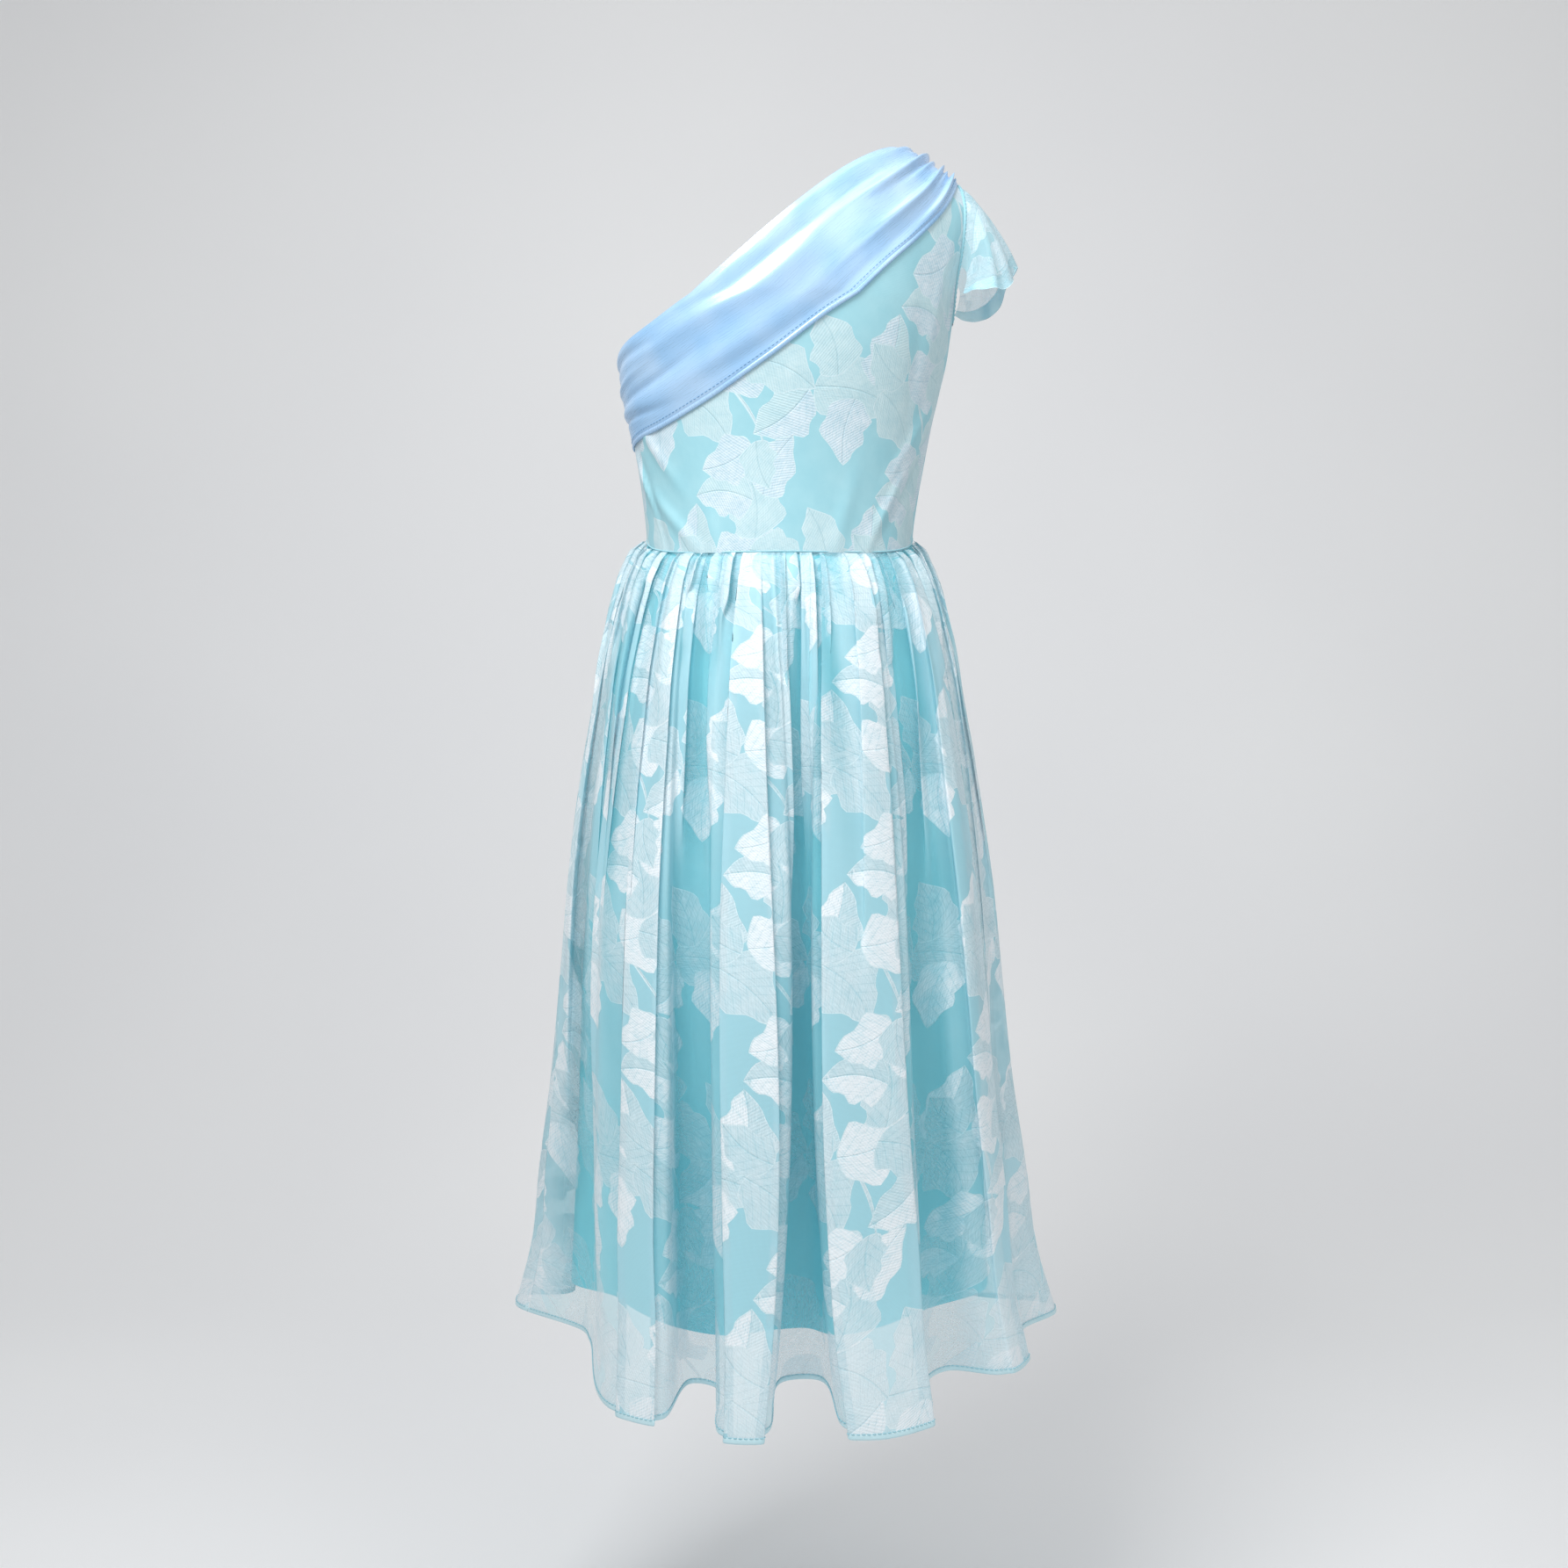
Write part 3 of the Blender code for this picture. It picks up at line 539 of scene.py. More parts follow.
def cut_block(net, lines):
    """Triangles of one block of cloth, each with its leaf, or -1, and whether it is on the rim."""
    rows, columns = net.shape[:2]
    number_of = np.arange(rows * columns).reshape(rows, columns)
    edge = np.concatenate((number_of[:, 0], number_of[-1, 1:], number_of[-2::-1, -1], number_of[0, -2:0:-1]))
    flat = [net.reshape(-1, 2)]
    border = flat[0][edge]
    if np.cross(border, np.roll(border, -1, axis=0)).sum() < 0:
        edge = edge[::-1]
    low, high = border.min(axis=0), border.max(axis=0)
    count = rows * columns
    faces = [edge.tolist()]
    meaning = [(-1, False)]
    ribs = list(zip(number_of[:-1, 1:-1].ravel().tolist(), number_of[1:, 1:-1].ravel().tolist()))
    for number, (outlines, middle) in enumerate(lines):
        rim = outlines[0][0]
        if np.any(rim.max(axis=0) < low) or np.any(rim.min(axis=0) > high):
            continue
        for outline, on_rim in outlines:
            faces.append(list(range(count, count + len(outline))))
            meaning.append((number, on_rim))
            flat.append(outline)
            count += len(outline)
        if middle is not None:
            ribs += [(count + place, count + place + 1) for place in range(len(middle) - 1)]
            flat.append(middle)
            count += len(middle)
    points = [Vector(point) for point in np.vstack(flat).tolist()]
    cut = delaunay_2d_cdt(points, ribs, faces, 1, 1e-5, True)
    inside = [(face, max(sources)) for face, sources in zip(cut[2], cut[5])
              if 0 in sources and len(face) == 3]
    corners = np.array([tuple(point) for point in cut[0]])
    triangles = np.array([face for face, top in inside])
    owners = np.array([meaning[top][0] for face, top in inside])
    rims = np.array([meaning[top][1] for face, top in inside])
    return corners, triangles, owners, rims


def woven_shell(name, net, place, finishes, shift=(0.0, 0.0), tone=None):
    """A cloth shell cut along its woven leaves, so that each leaf is a patch of its own finish.

    Net holds rows of flat points on the cloth, place gives their places and normals, and tone
    how far each stands out on a fold, which the sheer finishes turn into painted light on ridges and painted
    shade in hollows.
    """
    leaves = leaves_over(net.min(axis=(0, 1)), net.max(axis=(0, 1)), np.asarray(shift, float))
    lines = [leaf_lines(leaf) for leaf in leaves]
    blocks = []
    rows, columns = net.shape[:2]
    for top in range(0, rows - 1, BLOCK):
        for left in range(0, columns - 1, BLOCK):
            blocks.append(cut_block(net[top:top + BLOCK + 1, left:left + BLOCK + 1], lines))
    starts = np.cumsum([0] + [len(block[0]) for block in blocks[:-1]])
    corners = np.vstack([block[0] for block in blocks])
    triangles = np.vstack([block[1] + start for block, start in zip(blocks, starts)])
    owners = np.concatenate([block[2] for block in blocks])
    rims = np.concatenate([block[3] for block in blocks])
    _, first, same = np.unique(np.round(corners, 3), axis=0, return_index=True, return_inverse=True)
    corners = corners[first]
    triangles = same.ravel()[triangles]
    whole = ((triangles[:, 0] != triangles[:, 1]) & (triangles[:, 1] != triangles[:, 2])
             & (triangles[:, 2] != triangles[:, 0]))
    triangles, owners, rims = triangles[whole], owners[whole], rims[whole]
    used, triangles = np.unique(triangles, return_inverse=True)
    corners = corners[used]
    triangles = triangles.reshape(-1, 3)
    placed, out = place(corners)
    lift = np.cross(placed[triangles[:, 1]] - placed[triangles[:, 0]],
                    placed[triangles[:, 2]] - placed[triangles[:, 0]])
    if np.sum(lift * out[triangles[:, 0]]) < 0:
        triangles = triangles[:, ::-1]
    piece = new_piece(name, placed, triangles, out)
    for finish in finishes:
        piece.data.materials.append(finish)
    slots = np.where(rims, RIM, GROUND)
    local = np.zeros((len(triangles), 3, 2))
    for number, (base, turn, length, width, bend, kind) in enumerate(leaves):
        own = owners == number
        if not own.any():
            continue
        places = turned(corners[triangles[own]].reshape(-1, 2) - base, -turn)
        places[:, 1] -= bend * np.sin(np.pi * places[:, 0] / length)
        local[own] = places.reshape(-1, 3, 2)
        over = local[own].mean(axis=1)[:, 1] > 0
        bright = over if kind == ONE_BRIGHT else np.full(over.shape, kind == BOTH_BRIGHT)
        slots[own] = np.where(rims[own], RIM, np.where(bright, LEAF_BRIGHT, LEAF_PLAIN))
    piece.data.polygons.foreach_set("material_index", slots.astype(np.int32))
    loops = triangles.ravel()
    size = corners.max(axis=0) - corners.min(axis=0)
    add_map(piece, "OFBake", (corners[loops] - corners.min(axis=0)) / size)
    add_map(piece, "cloth", corners[loops] * METRES)
    add_map(piece, "leaf", local * METRES)
    # The fold map carries painted light and shade: the sheer finishes lighten ridges and darken hollows by
    # it.
    if tone:
        painted_fold_shade = tone(corners)
        add_map(piece, "fold", np.stack((painted_fold_shade, np.zeros_like(painted_fold_shade)), axis=-1)[loops])
    return piece


def new_piece(name, points, faces, out=None):
    """A smooth mesh from points in millimetres and rows of corner numbers."""
    data = bpy.data.meshes.new(name)
    placed = (np.asarray(points) - SHOULDER_SEAM_MIDDLE) * METRES
    data.from_pydata(placed.tolist(), [], np.asarray(faces).tolist())
    data.shade_smooth()
    if out is not None:
        data.normals_split_custom_set_from_vertices(np.asarray(out).tolist())
    piece = bpy.data.objects.new(name, data)
    bpy.context.scene.collection.objects.link(piece)
    return piece


def add_map(piece, name, places):
    """A UV map from one place for each face corner."""
    layer = piece.data.uv_layers.new(name=name)
    layer.data.foreach_set("uv", np.ascontiguousarray(places, dtype=np.float32).ravel())


def grid_faces(rows, columns, closed=False):
    """Corner numbers of the squares of a grid of points, row after row."""
    index = np.arange(rows * columns).reshape(rows, columns)
    if closed:
        index = np.hstack((index, index[:, :1]))
    return np.stack((index[:-1, :-1], index[:-1, 1:], index[1:, 1:], index[1:, :-1]), axis=-1).reshape(-1, 4)


def cloth_normals(surface, u, v, facing, step=NORMAL_STEP):
    """Unit normals of a surface, by small differences; facing is the sign that points them out."""
    along_u = surface(u + step, v) - surface(u - step, v)
    along_v = surface(u, v + step) - surface(u, v - step)
    return unit(facing * np.cross(along_u, along_v))


def plain_shell(name, surface, us, vs, facing, finish, offset=0.0, rise=None):
    """A cloth shell on a grid, set off its surface by a distance and a relief."""
    u, v = np.meshgrid(us, vs)
    points = surface(u, v)
    out = cloth_normals(surface, u, v, facing)
    height = offset + (rise(u, v) if rise else 0.0)
    points = points + out * np.asarray(height * np.ones_like(u))[..., None]
    return grid_shell(name, points, finish, facing)


def grid_shell(name, points, finish, facing):
    """A smooth shell through rows of points, with its cloth and bake maps."""
    rows, columns = points.shape[:2]
    faces = grid_faces(rows, columns)
    if facing < 0:
        faces = faces[:, ::-1]
    across = np.linalg.norm(np.diff(points, axis=1), axis=-1).mean(axis=0)
    down = np.linalg.norm(np.diff(points, axis=0), axis=-1).mean(axis=1)
    place = np.stack(np.meshgrid(running(across), running(down)), axis=-1).reshape(-1, 2)
    return mapped_piece(name, points.reshape(-1, 3), faces, place, finish)


class Laid:
    """A hanging cloth laid flat: row by row at its own length, its middle on one straight line."""

    def __init__(self, surface, facing, columns=481, rows=161, crowd=1.6):
        self.surface = surface
        self.facing = facing
        self.us = np.linspace(0.0, 1.0, columns)
        self.vs = np.linspace(0.0, 1.0, rows)**crowd
        u, v = np.meshgrid(self.us, self.vs)
        points = surface(u, v)
        steps = np.linalg.norm(np.diff(points, axis=1), axis=-1)
        run = np.hstack((np.zeros((rows, 1)), np.cumsum(steps, axis=1)))
        self.widths = run[:, -1]
        self.runs = run / run[:, -1:]
        falls = np.linalg.norm(np.diff(points, axis=0), axis=-1)
        self.drops = running(np.median(falls, axis=1))
        self.places = np.array([np.interp(self.us, row / row[-1], self.us) for row in run])

    def shares_of(self, flat):
        """Shares across and down the surface of flat points."""
        v = np.interp(-flat[:, 1], self.drops, self.vs)
        share = np.clip(flat[:, 0] / np.interp(v, self.vs, self.widths) + 0.5, 0.0, 1.0)
        row = np.clip(np.searchsorted(self.vs, v, side="right") - 1, 0, len(self.vs) - 2)
        part = (v - self.vs[row]) / (self.vs[row + 1] - self.vs[row])
        column = share * (len(self.us) - 1)
        left = np.clip(column.astype(int), 0, len(self.us) - 2)
        rest = column - left
        above = self.places[row, left] * (1 - rest) + self.places[row, left + 1] * rest
        below = self.places[row + 1, left] * (1 - rest) + self.places[row + 1, left + 1] * rest
        return above * (1 - part) + below * part, v

    def place(self, flat):
        """Places and normals of flat points."""
        u, v = self.shares_of(flat)
        return self.surface(u, v), cloth_normals(self.surface, u, v, self.facing)

    def net(self, places, every):
        """Rows of flat points: where these places round the surface lie, on every so many rows."""
        rows = np.arange(0, len(self.vs), every)
        share = np.array([np.interp(places, self.us, self.runs[row]) for row in rows])
        return np.stack(((share - 0.5) * self.widths[rows, None],
                         -self.drops[rows, None] + np.zeros_like(share)), axis=-1)

    def cut(self):
        """Width, length and area of the flat cut, in metres."""
        width = float(self.widths.max()) * METRES
        length = float(self.drops[-1]) * METRES
        area = float(np.trapz(self.widths, self.drops)) * METRES**2
        return (width, length), min(area, width * length)


class Wire:
    """A shader socket that Python sums can use: every operator adds its own Math node."""

    def __init__(self, tree, socket=None):
        self.tree = tree
        self.socket = socket

    def node(self, kind, inputs=(), output=0, stops=(), **settings):
        """Any node: its settings first, then the values or links of its sockets."""
        made = self.tree.nodes.new("ShaderNode" + kind)
        for name, value in settings.items():
            setattr(made, name, value)
        if stops:
            ramp = made.color_ramp.elements
            while len(ramp) < len(stops):
                ramp.new(0.5)
            for element, (place, colour) in zip(ramp, stops):
                element.position = place
                element.color = colour
        for name, value in dict(inputs).items():
            self.join(made.inputs[name], value)
        return Wire(self.tree, made.outputs[output])

    def join(self, socket, value):
        """Link or set one socket."""
        if isinstance(value, Wire):
            self.tree.links.new(value.socket, socket)
        else:
            socket.default_value = value

    def maths(self, operation, *values):
        return self.node("Math", dict(enumerate(values)), operation=operation)

    def __add__(self, other):
        return self.maths("ADD", self, other)

    def __radd__(self, other):
        return self.maths("ADD", other, self)

    def __sub__(self, other):
        return self.maths("SUBTRACT", self, other)

    def __rsub__(self, other):
        return self.maths("SUBTRACT", other, self)

    def __mul__(self, other):
        return self.maths("MULTIPLY", self, other)

    def __rmul__(self, other):
        return self.maths("MULTIPLY", other, self)

    def __truediv__(self, other):
        return self.maths("DIVIDE", self, other)

    def __abs__(self):
        return self.maths("ABSOLUTE", self)

    def sine(self):
        return self.maths("SINE", self)

    def fraction(self):
        return self.maths("FRACT", self)

    def part(self, axis):
        """One of a vector's three numbers."""
        return self.node("SeparateXYZ", {"Vector": self}, output="XYZ".index(axis))

    def scaled(self, x, y, z=1.0):
        """A vector stretched by three numbers."""
        return self.node("VectorMath", {0: self, 1: (x, y, z)}, operation="MULTIPLY")

    def step(self, low, high):
        """A soft step from 0 at low to 1 at high."""
        return self.node("MapRange", {"Value": self, "From Min": low, "From Max": high},
                         interpolation_type="SMOOTHSTEP")

    def noise(self, scale, detail=2.0, roughness=0.5):
        """Noise over this place."""
        return self.node("TexNoise", {"Vector": self, "Scale": scale, "Detail": detail,
                                      "Roughness": roughness})

    def blend(self, low, high):
        """From one colour to another by this share."""
        return self.node("Mix", {"Factor": self, 6: low, 7: high}, output=2, data_type="RGBA")


def linear(red, green, blue):
    """A colour of the screen, from 0 to 255, as Blender's linear colour."""
    parts = np.array((red, green, blue)) / 255.0
    parts = np.where(parts <= 0.04045, parts / 12.92, ((parts + 0.055) / 1.055)**2.4)
    return (*parts.tolist(), 1.0)


class Finish:
    """A material whose surface is one Principled shader."""

    def __init__(self, name, **fixed):
        self.material = bpy.data.materials.new(name)
        self.material.use_nodes = True
        self.shader = self.material.node_tree.nodes["Principled BSDF"]
        self.wire = Wire(self.material.node_tree)
        for socket, value in fixed.items():
            self.shader.inputs[socket.replace("_", " ")].default_value = value

    def map(self, name):
        return self.wire.node("UVMap", uv_map=name)

    def set(self, socket, value):
        self.wire.join(self.shader.inputs[socket], value)

    def bump(self, height, distance, strength=1.0):
        self.set("Normal", self.wire.node("Bump", {"Height": height, "Distance": distance,
                                                   "Strength": strength}))


def weave_height(place, thread):
    """Plain weave: threads over and under, a thread's width in metres."""
    turns = math.pi / thread
    warp = abs((place.part("X") * turns).sine())
    weft = abs((place.part("Y") * turns).sine())
    return warp * weft


def hatch(place, spacing, slant):
    """Fine slanting floats, 0 between them and 1 on them."""
    run = (place.part("X") * math.cos(slant) + place.part("Y") * math.sin(slant)) / spacing
    return abs(run.fraction() - 0.5) * 2.0


def leaf_finish(name, light, dark, sheer=(), hatched=0.0, roughness=0.5):
    """A woven leaf: midrib, side veins and fine slanting floats over two tones.

    Sheer gives its cover in the hollow of a fold and on its ridge; with it, the fold map also paints the
    leaf paler on ridges as painted light and darker in hollows as painted shade.
    """
    made = Finish(name, Roughness=roughness)
    cloth = made.map("cloth")
    leaf = made.map("leaf")
    across = abs(leaf.part("Y"))
    run = leaf.part("X") - across * 0.9
    vein = 1.0 - (abs((run / 0.0085).fraction() - 0.5) * 2.0).step(0.03, 0.2)
    midrib = 1.0 - across.step(0.0003, 0.0009)
    lines = hatch(leaf, 0.0021, 0.6)
    strokes = leaf.scaled(140.0, 900.0).noise(1.0, 2.0)
    tone = cloth.noise(60.0, 3.0) * 0.7 + 0.2
    if hatched:
        tone = tone + (strokes - 0.5 + (lines - 0.5) * 0.3) * hatched
    tone = tone - vein * 0.14 - midrib * 0.2
    # Painted light and shade: the leaf is paler on a fold's ridge and darker in its hollow.
    if sheer:
        tone = tone + made.map("fold").part("X") * 0.5 - 0.25
    made.set("Base Color", tone.step(0.0, 1.0).blend(dark, light))
    if sheer:
        # The cover is thinner in hollows and thicker on ridges, which also paints hollows darker over the
        # lining.
        hollow, ridge = sheer
        cover = made.map("fold").part("X") * (ridge - hollow) + hollow
        made.set("Alpha", cover + (strokes - 0.5) * 0.4 - vein * 0.06)
    made.bump(lines * 0.5 + strokes * 0.8 + weave_height(cloth, 0.0007) * 0.3 - midrib * 0.8, 0.0004, 0.7)
    return made.material


def ground_finish(name, light, dark, sheer=(), roughness=0.45):
    """The plain organza between the leaves, with fine crossing threads; on sheer cloth, painted light on
    fold ridges and painted shade in hollows.
    """
    made = Finish(name, Roughness=roughness)
    cloth = made.map("cloth")
    threads = weave_height(cloth, 0.0008)
    if sheer:
        # Painted light and shade: colour and cover follow the fold map, pale and thick on ridges, saturated
        # and thin in hollows.
        hollow, ridge = sheer
        fold = made.map("fold").part("X")
        tone = fold + (cloth.noise(38.0, 3.0) - 0.5) * 0.3
        made.set("Base Color", tone.step(0.0, 1.0).blend(dark, light))
        made.set("Alpha", fold * (ridge - hollow) + hollow - 0.06 + threads * 0.12)
    else:
        tone = cloth.noise(38.0, 3.0) * 0.7 + threads * 0.3
        made.set("Base Color", tone.step(0.15, 0.85).blend(dark, light))
    made.bump(threads, 0.00015, 0.5)
    return made.material


def satin_finish(name):
    """Sky-blue satin: smooth, bright where it turns to the light."""
    made = Finish(name, Metallic=0.15, Specular_IOR_Level=0.7)
    cloth = made.map("cloth")
    streaks = cloth.scaled(60.0, 900.0).noise(1.0, 3.0)
    tone = cloth.noise(14.0, 2.0) * 0.93 + streaks * 0.07
    made.set("Base Color", tone.step(0.2, 0.8).blend(linear(142, 191, 234), linear(188, 218, 247)))
    made.set("Roughness", streaks * 0.08 + 0.24)
    made.bump(streaks * 0.4 + cloth.noise(90.0, 2.0) * 1.6, 0.0005, 0.12)
    return made.material


def lining_finish(name):
    """The aqua lining: a plain smooth weave."""
    made = Finish(name, Roughness=0.5)
    cloth = made.map("cloth")
    threads = weave_height(cloth, 0.0005)
    tone = cloth.noise(9.0, 2.0)
    made.set("Base Color", tone.step(0.3, 0.7).blend(linear(132, 223, 236), linear(148, 231, 242)))
    made.bump(threads, 0.0001, 0.4)
    return made.material


def thread_finish(name, light, dark):
    """Sewing thread, with its twist."""
    made = Finish(name, Roughness=0.6)
    twist = hatch(made.map("cloth"), 0.0012, 0.9)
    made.set("Base Color", twist.step(0.1, 0.9).blend(dark, light))
    made.bump(twist, 0.0001, 0.5)
    return made.material


BACK, FRONT = 1, -1
SIDES = (("back", BACK), ("front", FRONT))

# Soft creases of the bodice: place across and up, direction in degrees, reach, width and height.
CREASE_COLUMNS = ("side", "across", "up", "heading", "reach", "width", "height")
CREASES = (
    (BACK, -165.0, 38.0, 128.0, 44.0, 6.5, 3.2),
    (BACK, -150.0, 22.0, 118.0, 40.0, 6.0, -2.8),
    (BACK, -124.0, 12.0, 140.0, 46.0, 7.0, 2.6),
    (BACK, -140.0, 74.0, 132.0, 50.0, 7.0, 2.0),
    (BACK, -70.0, -4.0, 100.0, 36.0, 9.0, 1.6),
    (BACK, 64.0, 4.0, 76.0, 40.0, 9.0, 1.8),
    (BACK, 120.0, 22.0, 58.0, 48.0, 7.0, 2.8),
    (BACK, 146.0, 84.0, 54.0, 52.0, 7.0, 2.0),
    (BACK, 158.0, 46.0, 50.0, 46.0, 6.0, -2.8),
    (BACK, 170.0, 96.0, 62.0, 40.0, 8.0, 1.4),
    (BACK, 128.0, 150.0, 96.0, 60.0, 9.0, -1.2),
    (BACK, 148.0, 200.0, 84.0, 50.0, 8.0, 1.2),
    (FRONT, -140.0, 26.0, 122.0, 46.0, 9.0, 1.5),
    (FRONT, 136.0, 30.0, 60.0, 46.0, 9.0, 1.5),
    (FRONT, 168.0, 120.0, 40.0, 36.0, 8.0, 1.2),
)
BODICE_UNDER_BAND = 1.12
BODICE_LIFT = 0.3
ARMHOLE_START = 4
ARMHOLE_BINDING = 2.1
WAIST_ROLL = 0.7

# Troughs and swells along the band: middle across it, start and end along it, rise and width.
TROUGH_COLUMNS = ("middle", "start", "end", "rise", "width")
BAND_TROUGHS = (
    (0.36, -0.20, 0.58, 2.6, 0.14),
    (0.66, 0.04, 0.80, 2.2, 0.11),
    (0.50, -0.10, 0.40, -2.2, 0.05),
    (0.80, -0.15, 0.34, -2.2, 0.05),
    (0.84, 0.30, 0.90, -1.6, 0.07),
    (0.18, 0.20, 0.86, -1.4, 0.08),
    (0.22, -0.15, 0.30, -2.4, 0.04),
    (0.30, 0.46, 0.96, 1.8, 0.08),
    (0.64, -0.15, 0.26, 2.4, 0.04),
    (0.74, 0.54, 0.98, 1.6, 0.07),
)
# Puckers where the band is drawn up at the shoulder: place across, reach along, height and width.
PUCKER_COLUMNS = ("place", "reach", "height", "width")
PUCKERS = (
    (0.06, 0.14, 3.0, 0.026),
    (0.16, 0.28, 7.6, 0.024),
    (0.28, 0.16, 4.0, 0.018),
    (0.38, 0.34, 8.6, 0.026),
    (0.55, 0.22, 6.8, 0.020),
    (0.68, 0.32, 8.6, 0.026),
    (0.82, 0.12, 3.4, 0.018),
    (0.91, 0.22, 5.4, 0.022),
)
BAND_LIFT = 2.2
BAND_EDGE_RADIUS = 2.2
BAND_STITCH_INSET = 5.5
BAND_WIDTH = 85.0
# How thick a pressed edge is beside a round one.
PRESSED = 0.45

FLUTTER = 1.8
SLEEVE_FLIP = 5.0
FLUTTERS = 15.0
SLEEVE_LEAVES = (30.0, 20.0)
# The sleeve's even level on the painted fold shade, from 0 in a hollow to 1 on a ridge.
SLEEVE_PAINTED_SHADE = 0.3

HEM_WIDTH = 4.5
HEM_LIFT = 0.5
STITCH = 3.0
STITCH_STEP = 4.2
THREAD_RADIUS = 0.3
STITCH_RINGS = 4
STITCH_SIDES = 5

# Soft folds of the organza, placed from a fixed seed: how many are short and long in each half.
FOLD_SEED = 26
SHORT_FOLDS = 30
LONG_FOLDS = 16

# Laps, where the edge of a ridge folds over the cloth beside it: place round the half skirt, the
# side of the ridge that laps (1 is clockwise from above), push and height in millimetres, share
# down where it runs out, and width.
LAP_COLUMNS = ("place", "side", "push", "height", "reach", "width")
LAPS = {
    BACK: (
        (0.035, 1, 16.0, 4.0, 0.8, 0.0085),
        (0.100, 1, 14.0, 4.0, 0.5, 0.0080),
        (0.150, -1, 18.0, 4.5, 0.85, 0.0085),
        (0.192, 1, 14.0, 4.0, 0.5, 0.0080),
        (0.240, -1, 22.0, 5.0, 1.6, 0.0085),
        (0.270, 1, 22.0, 6.0, 1.6, 0.0085),
        (0.330, 1, 14.0, 4.0, 0.42, 0.0075),
        (0.366, -1, 13.0, 4.0, 0.36, 0.0075),
        (0.418, -1, 22.0, 6.0, 1.6, 0.0085),
        (0.447, 1, 22.0, 6.0, 1.6, 0.0085),
        (0.495, 1, 14.0, 4.0, 0.5, 0.0075),
        (0.545, -1, 14.0, 4.0, 0.42, 0.0075),
        (0.580, 1, 12.0, 3.5, 0.3, 0.0070),
        (0.620, -1, 22.0, 6.0, 1.6, 0.0085),
        (0.655, -1, 14.0, 3.5, 0.6, 0.0080),
        (0.683, 1, 24.0, 6.0, 1.6, 0.0085),
        (0.730, 1, 14.0, 4.0, 0.5, 0.0075),
        (0.775, -1, 14.0, 4.0, 0.45, 0.0080),
        (0.818, -1, 16.0, 4.0, 1.2, 0.0085),
        (0.858, 1, 22.0, 6.0, 1.6, 0.0085),
        (0.915, -1, 15.0, 4.0, 0.7, 0.0080),
        (0.960, 1, 14.0, 4.0, 0.5, 0.0080),
    ),
    FRONT: (
        (0.045, -1, 15.0, 4.0, 0.7, 0.0085),
        (0.100, 1, 14.0, 4.0, 0.45, 0.0080),
        (0.157, -1, 21.0, 5.0, 1.6, 0.0085),
        (0.183, 1, 21.0, 6.0, 1.6, 0.0080),
        (0.228, 1, 14.0, 4.0, 0.5, 0.0080),
        (0.285, -1, 13.0, 4.0, 0.38, 0.0075),
        (0.330, -1, 22.0, 6.0, 1.6, 0.0085),
        (0.360, 1, 22.0, 6.0, 1.6, 0.0085),
        (0.405, 1, 14.0, 4.0, 0.46, 0.0075),
        (0.465, -1, 14.0, 4.0, 0.40, 0.0075),
        (0.517, -1, 22.0, 6.0, 1.6, 0.0085),
        (0.545, 1, 22.0, 6.0, 1.6, 0.0085),
        (0.598, 1, 14.0, 4.0, 0.5, 0.0080),
        (0.648, -1, 13.0, 4.0, 0.42, 0.0075),
        (0.696, -1, 22.0, 5.0, 1.6, 0.0085),
        (0.724, 1, 22.0, 6.0, 1.6, 0.0085),
        (0.785, 1, 14.0, 4.0, 0.5, 0.0080),
        (0.846, -1, 20.0, 5.0, 1.6, 0.0080),
        (0.905, 1, 15.0, 4.0, 0.6, 0.0080),
        (0.960, -1, 14.0, 4.0, 0.45, 0.0080),
    ),
}
SKIRT_LEAVES = (20.0, 72.0)
LAP_GROWTH = ((0.0, 0.42), (0.05, 0.62), (0.3, 0.86), (0.54, 0.84), (1.0, 0.8))
PINCHES = 27
PINCH_REACH = (0.05, 0.17)
LAP_DRIFT = 0.0035
FOLD_SINK = 2.6
LAP_CROWD = 2.2
# Where the painted shade of a hollow turns into the painted light of a ridge: share down, reach from the
# middle, softness, and how much the deep folds count beside the soft ones.
RIDGE_COLUMNS = ("down", "reach", "softness", "deep_share")
PAINTED_RIDGE_EDGE = (
    (0.0, 1.02, 0.10, 0.0),
    (0.15, 1.0, 0.08, 0.25),
    (0.35, 0.97, 0.06, 0.6),
    (0.54, 0.945, 0.06, 0.85),
    (0.8, 0.90, 0.08, 0.9),
    (1.0, 0.85, 0.10, 0.9),
)
# The skirt's mesh: columns of each half, and every third row.
SKIRT_MESH_COLUMNS = 450
SKIRT_ROWS_EVERY = 3

# Studio: each light's name, place, aim, size and power, then the world's light and the camera.
LIGHTS = (
    ("key", (0.6, 0.9, 0.75), (0.13, 0.0, 0.0), 0.6, 20.5),
    ("fill", (-1.4, 1.7, 0.8), (0.13, 0.0, -0.2), 1.4, 11.0),
    ("top", (0.1, 0.5, 1.5), (0.13, 0.0, -0.3), 1.2, 9.0),
)
WORLD_STRENGTH = 0.46
CAMERA_PLACE = (0.134, 1.5, -0.572)
SENSOR_WIDTH = 36.0
LENS = 36.89


def bodice_flat(u, v, side):
    """Flat cloth places of shares of a bodice panel."""
    plan = bodice_plan(u, v, side)
    return np.stack(((plan[..., 0] - 90.0) * MM_PER_DEGREE, plan[..., 1]), axis=-1)


def crease_height(x, y, side):
    """Relief of the soft creases at flat places of a bodice panel."""
    height = np.zeros(x.shape)
    for where, across, up, heading, reach, width, rise in CREASES:
        if where != side:
            continue
        turn = math.radians(heading)
        along_it = (x - across) * math.cos(turn) + (y - up) * math.sin(turn)
        across_it = (y - up) * math.cos(turn) - (x - across) * math.sin(turn)
        height += rise * np.exp(-(along_it / reach)**2 - (across_it / width)**2)
    return height


